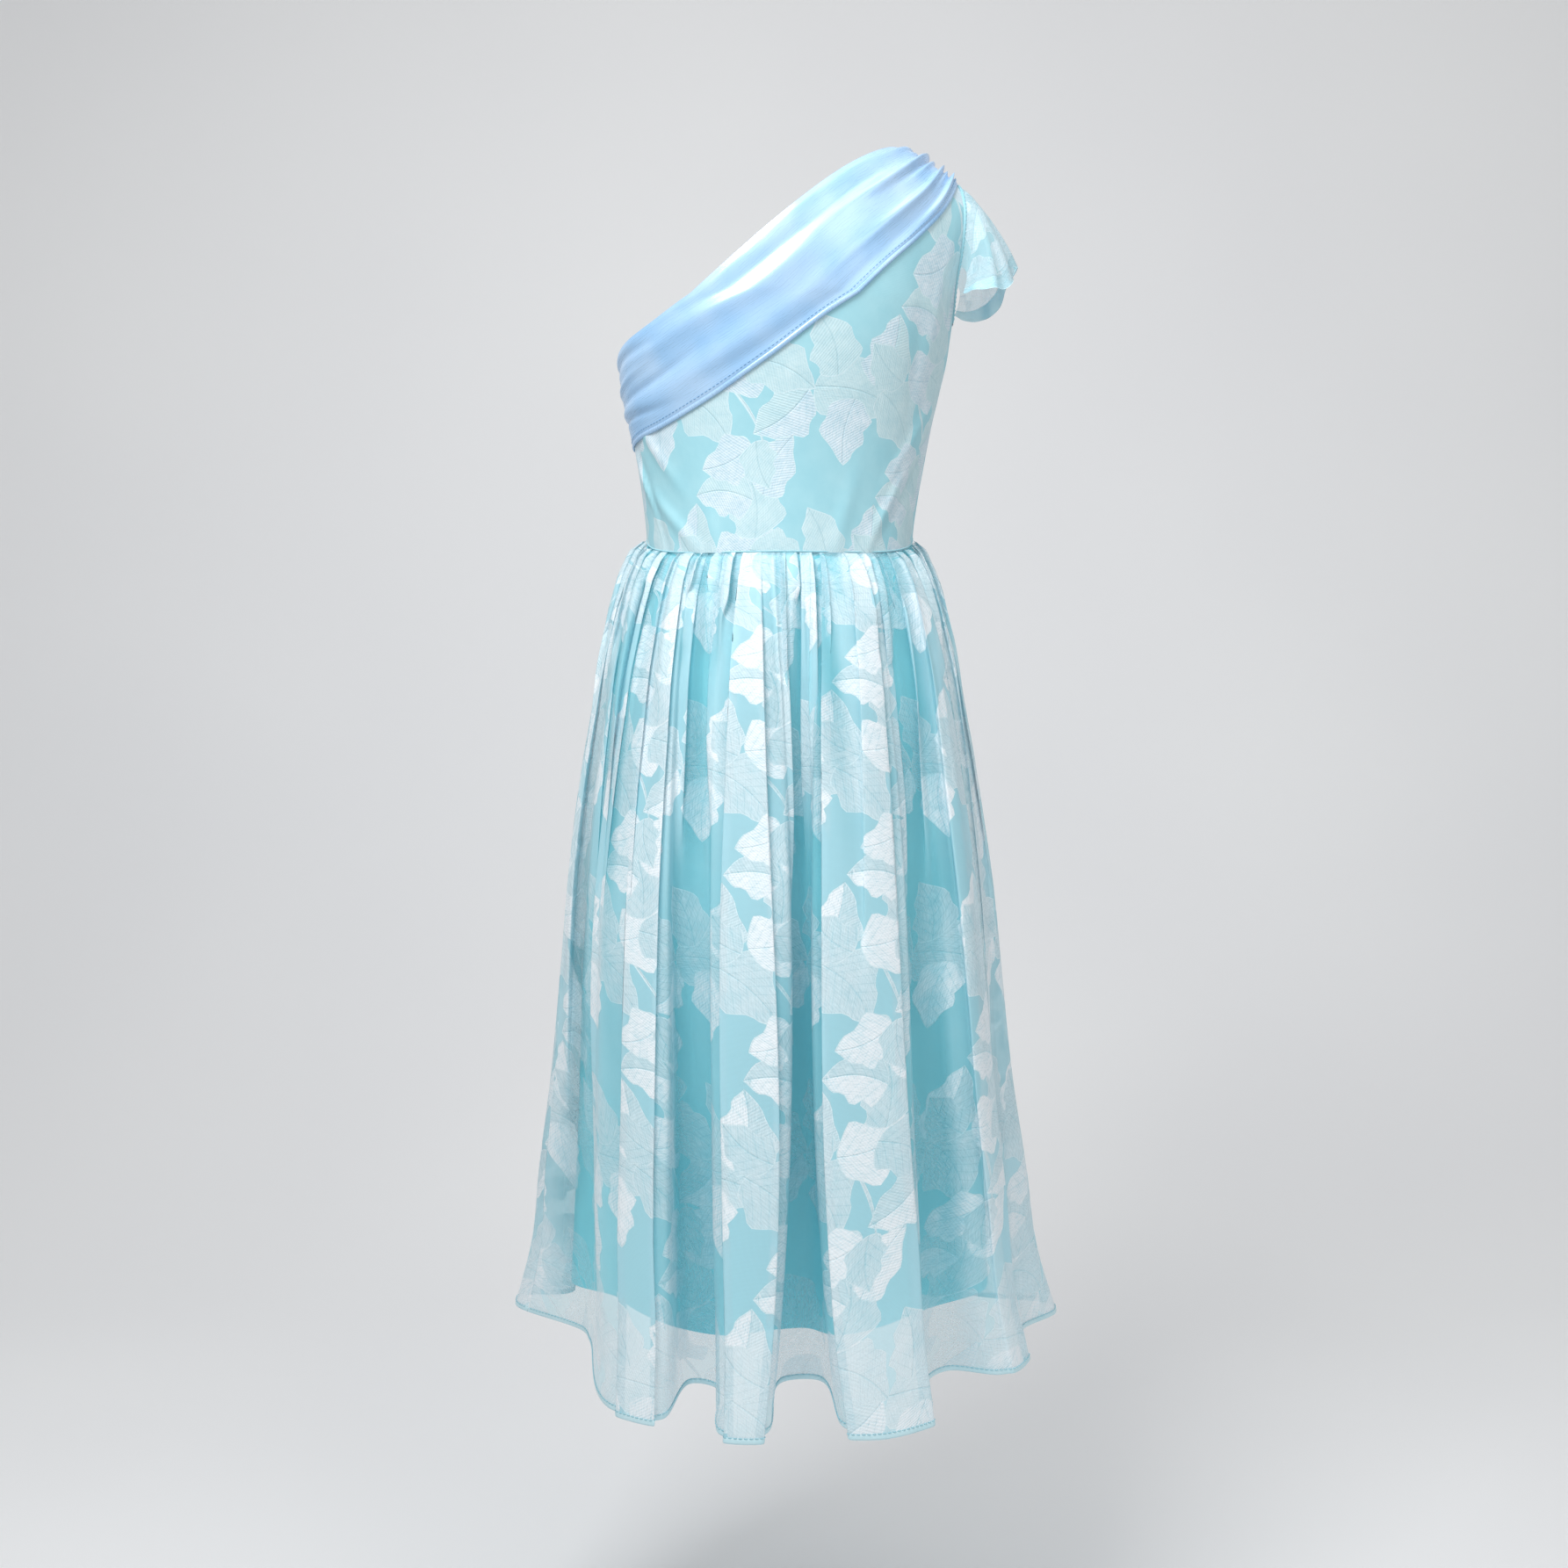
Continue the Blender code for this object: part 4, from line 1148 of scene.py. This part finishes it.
def plain_face(side):
    """The figure's surface behind or in front, as a function of flat cloth places."""
    return lambda x, y: figure(x / MM_PER_DEGREE + 90.0, y, side)


def bodice_face(side):
    """The creased cloth of a bodice panel as a function of its flat place."""
    smooth_face = plain_face(side)

    def creased(x, y):
        height = BODICE_LIFT + crease_height(x, y, side)
        return smooth_face(x, y) + cloth_normals(smooth_face, x, y, side, 1.0) * height[..., None]
    return creased


def bodice_piece(name, side, finishes):
    """A bodice panel, cut from the waist to a little way under the band."""
    u, v = np.meshgrid(np.linspace(0.0, 1.0, 85), np.linspace(0.0, BODICE_UNDER_BAND, 57))
    surface = bodice_face(side)

    def place(flat):
        x, y = flat[:, 0], flat[:, 1]
        return surface(x, y), cloth_normals(surface, x, y, side, 0.4)
    return woven_shell(name, bodice_flat(u, v, side), place, finishes, (24.0, 60.0))


def band_relief(u, v):
    """The band's gathers at the shoulder, and soft troughs along it."""
    place = v - 1.0
    height = 0.6 * band_rise(u, v)
    for spot, reach, rise, width in PUCKERS:
        fade = np.clip((u - 1.0 + reach) / reach, 0.0, 1.0)
        lean = spot + (0.5 * (spot - 0.5) - 0.16) * (1.0 - u)
        away = (place - lean) / (width * (1.0 + 1.8 * (1.0 - fade)))
        height = height + rise * fade**1.3 * np.exp(-np.where(away > 0, 3.0, 0.7) * away**2)
    for middle, start, end, rise, width in BAND_TROUGHS:
        fade = np.clip(np.minimum(u - start, end - u) / 0.22, 0.0, 1.0)
        fade = eased(fade)
        lean = middle + 0.07 * np.sin(6.0 * u + 9.0 * middle) - 0.22 * (u - 0.5 * (start + end))
        height = height + rise * fade * np.exp(-((place - lean) / width)**2)
    edge = np.minimum(place, 1.0 - place)
    return height - 1.2 * np.exp(-(edge / 0.03)**2)


def soft_folds(half):
    """Rows of a half skirt's soft folds: place, lean, width, end and height."""
    chance = np.random.default_rng(FOLD_SEED + half)
    rows = []
    for count, reach, width, height in ((SHORT_FOLDS, (0.07, 0.34), (0.0055, 0.0095), (2.4, 4.4)),
                                        (LONG_FOLDS, (0.6, 1.0), (0.010, 0.020), (2.2, 4.6))):
        for number in range(count):
            place = (number + chance.uniform(0.2, 0.8)) / count
            rows.append((place, chance.uniform(-0.012, 0.012), chance.uniform(*width),
                         chance.uniform(*reach), chance.uniform(*height)))
    return np.array(rows)


def fold_relief(rows, u, v):
    """Height of the soft folds: each has one steep side and one soft side, and runs out below."""
    height = np.zeros_like(u)
    for place, lean, width, end, rise in rows:
        grown = width * (1.0 + 0.8 * v)
        away = (u - place - lean * v) / grown
        shape = np.exp(-np.where(away > 0, 1.6 * away, 0.8 * away)**2)
        fade = np.clip((end - v) / (0.45 * end), 0.0, 1.0)
        top = np.clip(0.55 + v / 0.02, 0.0, 1.0)
        height += rise * shape * top * fade * fade * (3 - 2 * fade)
    return height


def half_laps(half):
    """Every lap of a half skirt: the chosen ones, and small pinches at the waist between them."""
    chance = np.random.default_rng(FOLD_SEED + 10 + half)
    laps = list(LAPS[SIDES[half][1]])
    for number in range(PINCHES):
        place = (number + chance.uniform(0.25, 0.75)) / PINCHES
        if min(abs(place - lap[0]) for lap in laps) > 0.012:
            laps.append((place, chance.choice((-1, 1)), chance.uniform(14.0, 20.0), chance.uniform(5.0, 8.0),
                         chance.uniform(*PINCH_REACH), 0.0062))
    return laps


def lap_shape(laps, u, v):
    """How far the laps push the cloth round and outwards, how much ridge or hollow that makes, and the
    painted light and painted shade on either side of each lap's edge.
    """
    push, rise, tone = np.zeros((3, *np.shape(u)))
    growth = read(LAP_GROWTH, FADE_COLUMNS, "height", v)
    for place, side, most, height, reach, width in laps:
        away = (u - place - LAP_DRIFT * np.sin(5.0 * v + 50.0 * place)) / width
        fade = np.clip((reach - v) / (0.4 * reach), 0.0, 1.0)
        fade = eased(fade) * growth
        push -= most * fade * away * np.exp(-away**2)
        rise -= side * 0.5 * height * fade * np.tanh(1.4 * away) * np.exp(-(away / 3.2)**2)
        # Painted light on one side of each lap's edge and painted shade on the other, for the fold map.
        tone -= side * 0.5 * np.clip(2.0 * fade, 0.0, 1.0) * np.tanh(2.2 * away) * np.exp(-(away / 4.0)**2)
    return push, rise, tone


def outward(points):
    """Level directions from the skirt's middle to points of its cloth."""
    return unit(points * (1.0, 1.0, 0.0) - (SKIRT_CENTRE, 0.0, 0.0))


def lapped(surface, laps):
    """A hanging cloth that folds back under itself and forward again at each lap."""
    def panel(u, v):
        points = surface(u, v)
        away = outward(points)
        around = np.stack((-away[..., 1], away[..., 0], np.zeros_like(away[..., 0])), axis=-1)
        push, rise = lap_shape(laps, u, v)[:2]
        return points + around * push[..., None] + away * rise[..., None]
    return panel


def crowded(laps, count):
    """Places round a half skirt, closer together where the cloth laps."""
    fine = np.linspace(0.0, 1.0, 4001)
    need = np.ones_like(fine)
    for place, *_, width in laps:
        need += LAP_CROWD * np.exp(-((fine - place) / (1.1 * width))**2)
    run = np.cumsum(need) - need[0]
    return np.interp(np.linspace(0.0, run[-1], count), run, fine)


def folded(surface, rows):
    """A hanging cloth with soft folds standing out from it."""
    def panel(u, v):
        points = surface(u, v)
        away = outward(points)
        relief = fold_relief(rows, u, v) - FOLD_SINK * np.clip(v / 0.02, 0.0, 1.0)
        return points + away * relief[..., None]
    return panel


def fold_painted_shade(surface, laid, rows, laps):
    """How far each flat place stands out, as painted shade and light: 0 is the painted shade of a hollow and
    1 the painted light of a ridge, with a crisp change.
    """
    def tone(flat):
        u, v = laid.shares_of(flat)
        points = surface(u, v)
        outline = read_levels(SKIRT, np.clip(-points[:, 2], 0.0, SKIRT_LENGTH))
        behind = np.where(points[:, 1] > 0, outline["back"], outline["front"])
        reach = np.hypot((points[:, 0] - SKIRT_CENTRE) / outline["half_width"], points[:, 1] / behind)
        edge = read(PAINTED_RIDGE_EDGE, RIDGE_COLUMNS, "reach", v)
        deep = np.clip((reach - edge) / read(PAINTED_RIDGE_EDGE, RIDGE_COLUMNS, "softness", v) + 0.5, 0.0, 1.0)
        angle = np.arctan2(points[:, 1], points[:, 0] - SKIRT_CENTRE)
        soft = np.clip((fold_relief(rows, u, v) + 0.7 * gathers(angle, v) - 1.2) / 3.2, 0.0, 1.0)
        weight = read(PAINTED_RIDGE_EDGE, RIDGE_COLUMNS, "deep_share", v)
        lap = lap_shape(laps, u, v)[2]
        return np.clip(deep * weight + soft * (1.0 - 0.75 * weight) + lap, 0.0, 1.0)
    return tone


def tube(name, path, radius, finish, out, sides=8, flatten=1.0):
    """A cord, rolled edge or thread along a path, flatter than round where it is pressed."""
    path = np.asarray(path, float)
    along_it = unit(np.gradient(path, axis=0))
    side = unit(np.cross(along_it, out))
    up = np.cross(side, along_it)
    turns = np.linspace(0, 2 * np.pi, sides, endpoint=False)
    points = path[:, None] + radius * (side[:, None] * np.cos(turns)[None, :, None]
                                       + up[:, None] * np.sin(turns)[None, :, None] * flatten)
    faces = grid_faces(len(path), sides, closed=True)
    run = running(np.linalg.norm(np.diff(path, axis=0), axis=1))
    place = np.stack(np.meshgrid(np.arange(sides) / sides * 2 * np.pi * radius, run), axis=-1)
    return mapped_piece(name, points.reshape(-1, 3), faces, place.reshape(-1, 2), finish)


def mapped_piece(name, points, faces, place, finish):
    """A mesh with one finish whose cloth map is its places in millimetres."""
    piece = new_piece(name, points, faces)
    piece.data.materials.append(finish)
    loops = np.asarray(faces).ravel()
    add_map(piece, "OFBake", place[loops] / np.maximum(place.max(axis=0), 1e-6))
    add_map(piece, "cloth", place[loops] * METRES)
    return piece


def stitches(name, path, out, finish, step=STITCH_STEP, length=STITCH, radius=THREAD_RADIUS):
    """A row of stitches along a path: short threads that dip into the cloth at both ends."""
    run = running(np.linalg.norm(np.diff(path, axis=0), axis=1))
    starts = np.arange(0.5 * step, run[-1] - step, step)
    share = np.linspace(0.0, 1.0, STITCH_RINGS)
    at = starts[:, None] + share * length
    middle = np.stack([np.interp(at, run, path[:, axis]) for axis in range(3)], axis=-1)
    up = np.stack([np.interp(at, run, out[:, axis]) for axis in range(3)], axis=-1)
    rise = radius * (np.sin(np.pi * share) * 1.6 - 0.7)
    middle = middle + up * rise[None, :, None]
    side = np.cross(unit(np.gradient(middle, axis=1)), up)
    turns = np.linspace(0, 2 * np.pi, STITCH_SIDES, endpoint=False)
    ring_points = (middle[:, :, None] + radius * (side[:, :, None] * np.cos(turns)[None, None, :, None]
                                                  + up[:, :, None] * np.sin(turns)[None, None, :, None]))
    count = len(starts)
    one = grid_faces(STITCH_RINGS, STITCH_SIDES, closed=True)
    corners = STITCH_RINGS * STITCH_SIDES
    faces = (one[None] + corners * np.arange(count)[:, None, None]).reshape(-1, 4)
    girth = np.arange(STITCH_SIDES) / STITCH_SIDES * 2 * np.pi * radius
    place = np.stack((np.tile(girth, STITCH_RINGS * count), np.repeat(at.ravel(), STITCH_SIDES)), axis=-1)
    return mapped_piece(name, ring_points.reshape(-1, 3), faces, place, finish)


def line_on(surface, us, vs, facing, lift):
    """A line of points on a surface, lifted off it, with its normals."""
    us, vs = np.broadcast_arrays(np.asarray(us, float), np.asarray(vs, float))
    out = cloth_normals(surface, us, vs, facing)
    return surface(us, vs) + out * lift, out


def hem_strip(name, surface, facing, start, columns, finish, lift):
    """The turned hem: a doubled strip that lies just off the cloth at its foot."""
    us = np.linspace(0.0, 1.0, columns)
    vs = np.linspace(start, 1.0, 7)

    def rise(u, v):
        edge = (v - start) / (1.0 - start)
        return -0.6 * np.exp(-(edge / 0.10)**2) - 0.6 * np.exp(-((1 - edge) / 0.10)**2)
    return plain_shell(name, surface, us, vs, facing, finish, lift, rise)


def set_piece(piece, slot, *nodes):
    """Every piece rides on the one body and stands for its nodes; slot is not used."""
    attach(piece, "root")
    if nodes:
        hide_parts(*nodes)
    return piece


def build_bodice(finishes, seam_finish, thread):
    """Both bodice panels, each with its waist seam's rolled edge and its bound, stitched armhole."""
    slot = "organza_on_lining"
    armhole = np.linspace(ARMHOLE_START, len(RIGHT_EDGE) - 1, 61)
    for word, side in SIDES:
        panel = set_piece(bodice_piece(f"bodice_{word}_cloth", side, finishes), slot, "bodice_" + word)
        path, out = line_on(bodice(side), np.linspace(0, 1, 121), 0.004, side, 0.2)
        roll = set_piece(tube(f"bodice_{word}_waist_roll", path, WAIST_ROLL, seam_finish, out), slot)
        edge = smooth(np.arange(len(RIGHT_EDGE)), RIGHT_EDGE, armhole)
        path = figure(edge[:, 0], edge[:, 1], side)
        across = (edge[:, 0] - 90.0) * MM_PER_DEGREE - 1.0
        out = cloth_normals(plain_face(side), across, edge[:, 1], side, 0.5)
        binding = tube(f"armhole_{word}_binding", path + out * 0.6, ARMHOLE_BINDING, seam_finish, out,
                       flatten=PRESSED)
        set_piece(binding, slot)
        row = set_piece(stitches(f"armhole_{word}_stitch", path + out * 1.5, out, thread), slot)


def build_band(satin, thread):
    """The satin band: its swells, its rolled lower edge and the topstitch above that."""
    us = np.linspace(0.0, 1.0, 181)
    for word, side in SIDES:
        face = bodice(side)
        band = plain_shell(f"band_{word}_cloth", face, us, np.linspace(1.0, 2.0, 61), side, satin,
                           BAND_LIFT, band_relief)
        set_piece(band, "satin", "band_" + word)
        path, out = line_on(face, us, 1.01, side, BAND_LIFT - 0.6)
        roll = tube(f"band_{word}_edge", path, BAND_EDGE_RADIUS, satin, out, flatten=PRESSED)
        set_piece(roll, "satin")
        inset = 1.0 + BAND_STITCH_INSET / BAND_WIDTH
        path, out = line_on(face, us, inset, side, BAND_LIFT)
        path = path + out * band_relief(us, np.full_like(us, inset))[:, None]
        row = set_piece(stitches(f"band_{word}_topstitch", path, out, thread), "satin")


def build_skirt(finishes, hem, lining, thread):
    """The leaf organza skirt over its lining, each in two halves."""
    organza = hanging(SKIRT_FOLDS, SKIRT, SKIRT_LENGTH, True)
    plain = hanging(LINING_FOLDS, LINING, LINING_LENGTH, False)
    split = seam_shares(organza)
    lining_split = seam_shares(plain)
    columns = SKIRT_MESH_COLUMNS
    hem_start = 1 - HEM_WIDTH / SKIRT_LENGTH
    around = np.linspace(0.0, 1.0, 3 * columns)
    for half, (word, side) in enumerate(SIDES):
        smooth_half = parted(organza, split, half)
        rows_of_folds = soft_folds(half)
        laps = half_laps(half)
        face = lapped(folded(smooth_half, rows_of_folds), laps)
        laid = Laid(face, -1, columns=1201, rows=169)
        net = laid.net(crowded(laps, columns), SKIRT_ROWS_EVERY)
        # The painted shade of hollows and painted light of ridges, for the fold map.
        tone = fold_painted_shade(smooth_half, laid, rows_of_folds, laps)
        panel = woven_shell(f"skirt_{word}_cloth", net, laid.place, finishes, SKIRT_LEAVES, tone)
        set_piece(panel, "organza", "skirt_" + word)
        strip = hem_strip(f"skirt_{word}_hem", face, -1, hem_start, 3 * columns, hem, HEM_LIFT)
        set_piece(strip, "organza")
        path, out = line_on(face, around, hem_start, -1, 0.6)
        row = set_piece(stitches(f"skirt_{word}_hem_stitch", path, out, thread), "organza")
        flat, area = laid.cut()
        under = parted(plain, lining_split, half)
        slip = plain_shell(f"lining_{word}_cloth", under, np.linspace(0, 1, 161), np.linspace(0, 1, 61), -1,
                           lining)
        set_piece(slip, "lining", "lining_" + word)
        flat, area = Laid(under, -1).cut()


def fluttered(u, v):
    """The sleeve with the small waves of its free hem."""
    over_arm = np.exp(-((u - 0.5) / 0.2)**2)
    wave = FLUTTER * v**2 * (0.35 + over_arm) * np.sin(FLUTTERS * np.pi * u + 0.7 * np.sin(9.0 * u))
    wave = wave + SLEEVE_FLIP * v**6 * np.exp(-((u - 0.5) / 0.1)**2)
    return sleeve(u, v) + cloth_normals(sleeve, u, v, 1) * wave[..., None]


def build_sleeve(finishes, hem):
    """The flutter sleeve, one layer of leaf organza with a turned hem."""
    laid = Laid(fluttered, 1, rows=81, crowd=1.0)
    net = laid.net(np.linspace(0.0, 1.0, 101), 2)
    # One even level of painted fold shade over the whole sleeve.
    cap = woven_shell("sleeve_cloth", net, laid.place, finishes, SLEEVE_LEAVES,
                      tone=lambda flat: np.full(len(flat), SLEEVE_PAINTED_SHADE))
    set_piece(cap, "organza", "sleeve")
    strip = set_piece(hem_strip("sleeve_hem", fluttered, 1, 0.91, 161, hem, HEM_LIFT), "organza")
    flat, area = laid.cut()


def build_dress():
    """Every piece of the dress with its finish."""
    bodice_finishes = [
        ground_finish("bodice_ground", linear(170, 218, 228), linear(150, 207, 220)),
        leaf_finish("bodice_leaf_bright", linear(224, 237, 245), linear(172, 208, 222), hatched=1.0),
        leaf_finish("bodice_leaf_plain", linear(208, 232, 237), linear(172, 211, 221), hatched=0.6),
        leaf_finish("bodice_leaf_rim", linear(214, 234, 240), linear(196, 224, 232)),
    ]
    # Sheer finishes: light is the painted light of a fold's ridge, dark the saturated painted shade of its
    # hollow.
    sheer_finishes = [
        ground_finish("skirt_ground", linear(190, 237, 249), linear(140, 221, 235), sheer=(0.30, 0.66)),
        leaf_finish("skirt_leaf_bright", linear(240, 248, 253), linear(168, 220, 234), (0.54, 0.96), 0.6),
        leaf_finish("skirt_leaf_plain", linear(224, 243, 250), linear(160, 217, 231), (0.36, 0.80), 0.3),
        leaf_finish("skirt_leaf_rim", linear(226, 242, 248), linear(170, 220, 232), (0.46, 0.90)),
    ]
    satin = satin_finish("sky_satin")
    lining = lining_finish("aqua_lining")
    hem = ground_finish("organza_hem", linear(212, 238, 244), linear(186, 226, 236), roughness=0.4)
    thread = thread_finish("aqua_thread", linear(178, 226, 236), linear(132, 196, 212))
    satin_thread = thread_finish("satin_thread", linear(136, 184, 220), linear(92, 144, 190))
    build_bodice(bodice_finishes, bodice_finishes[0], thread)
    build_band(satin, satin_thread)
    build_skirt(sheer_finishes, hem, lining, thread)
    build_sleeve(sheer_finishes, hem)


def area_light(name, place, aim, size, power):
    """A soft square light that faces a point."""
    data = bpy.data.lights.new(name, "AREA")
    data.size = size
    data.energy = power
    lamp = bpy.data.objects.new(name, data)
    lamp.location = place
    lamp.rotation_euler = (Vector(aim) - Vector(place)).to_track_quat("-Z", "Y").to_euler()
    bpy.context.scene.collection.objects.link(lamp)


def backdrop_finish():
    """Pale matt paper."""
    made = Finish("pale_backdrop", Roughness=0.9)
    place = made.wire.node("NewGeometry")
    made.set("Base Color", place.noise(0.8, 2.0).step(0.2, 0.8).blend(linear(242, 243, 245),
                                                                      linear(248, 249, 250)))
    return made.material


def build_backdrop():
    """A pale floor that curves up into a wall behind the dress."""
    floor, bend = -1.45, 0.8
    near, far, top, half_width = 2.6, -1.2, 3.2, 4.5
    turns = np.linspace(0.1, math.pi / 2, 12)
    profile = [(near, floor), (far, floor)]
    profile += [(far - bend * math.sin(t), floor + bend * (1 - math.cos(t))) for t in turns]
    profile += [(far - bend, top)]
    rows = np.array([[(x, y, z) for x in np.linspace(-half_width, half_width, 7)] for y, z in profile])
    data = bpy.data.meshes.new("backdrop")
    data.from_pydata(rows.reshape(-1, 3).tolist(), [], grid_faces(*rows.shape[:2]).tolist())
    data.shade_smooth()
    data.materials.append(backdrop_finish())
    piece = bpy.data.objects.new("backdrop", data)
    bpy.context.scene.collection.objects.link(piece)


def light_and_frame():
    """Soft studio light, and the camera straight behind the dress."""
    scene = bpy.context.scene
    for light in LIGHTS:
        area_light(*light)
    world = bpy.data.worlds.new("studio")
    world.use_nodes = True
    world.node_tree.nodes["Background"].inputs["Color"].default_value = (1.0, 1.0, 1.0, 1.0)
    world.node_tree.nodes["Background"].inputs["Strength"].default_value = WORLD_STRENGTH
    scene.world = world
    scene.view_settings.view_transform = "Standard"
    data = bpy.data.cameras.new("camera")
    data.sensor_width = SENSOR_WIDTH
    data.lens = LENS
    camera = bpy.data.objects.new("camera", data)
    camera.location = CAMERA_PLACE
    camera.rotation_euler = (math.radians(90.0), 0.0, math.radians(180.0))
    scene.collection.objects.link(camera)
    scene.camera = camera


build_dress()
build_backdrop()
light_and_frame()
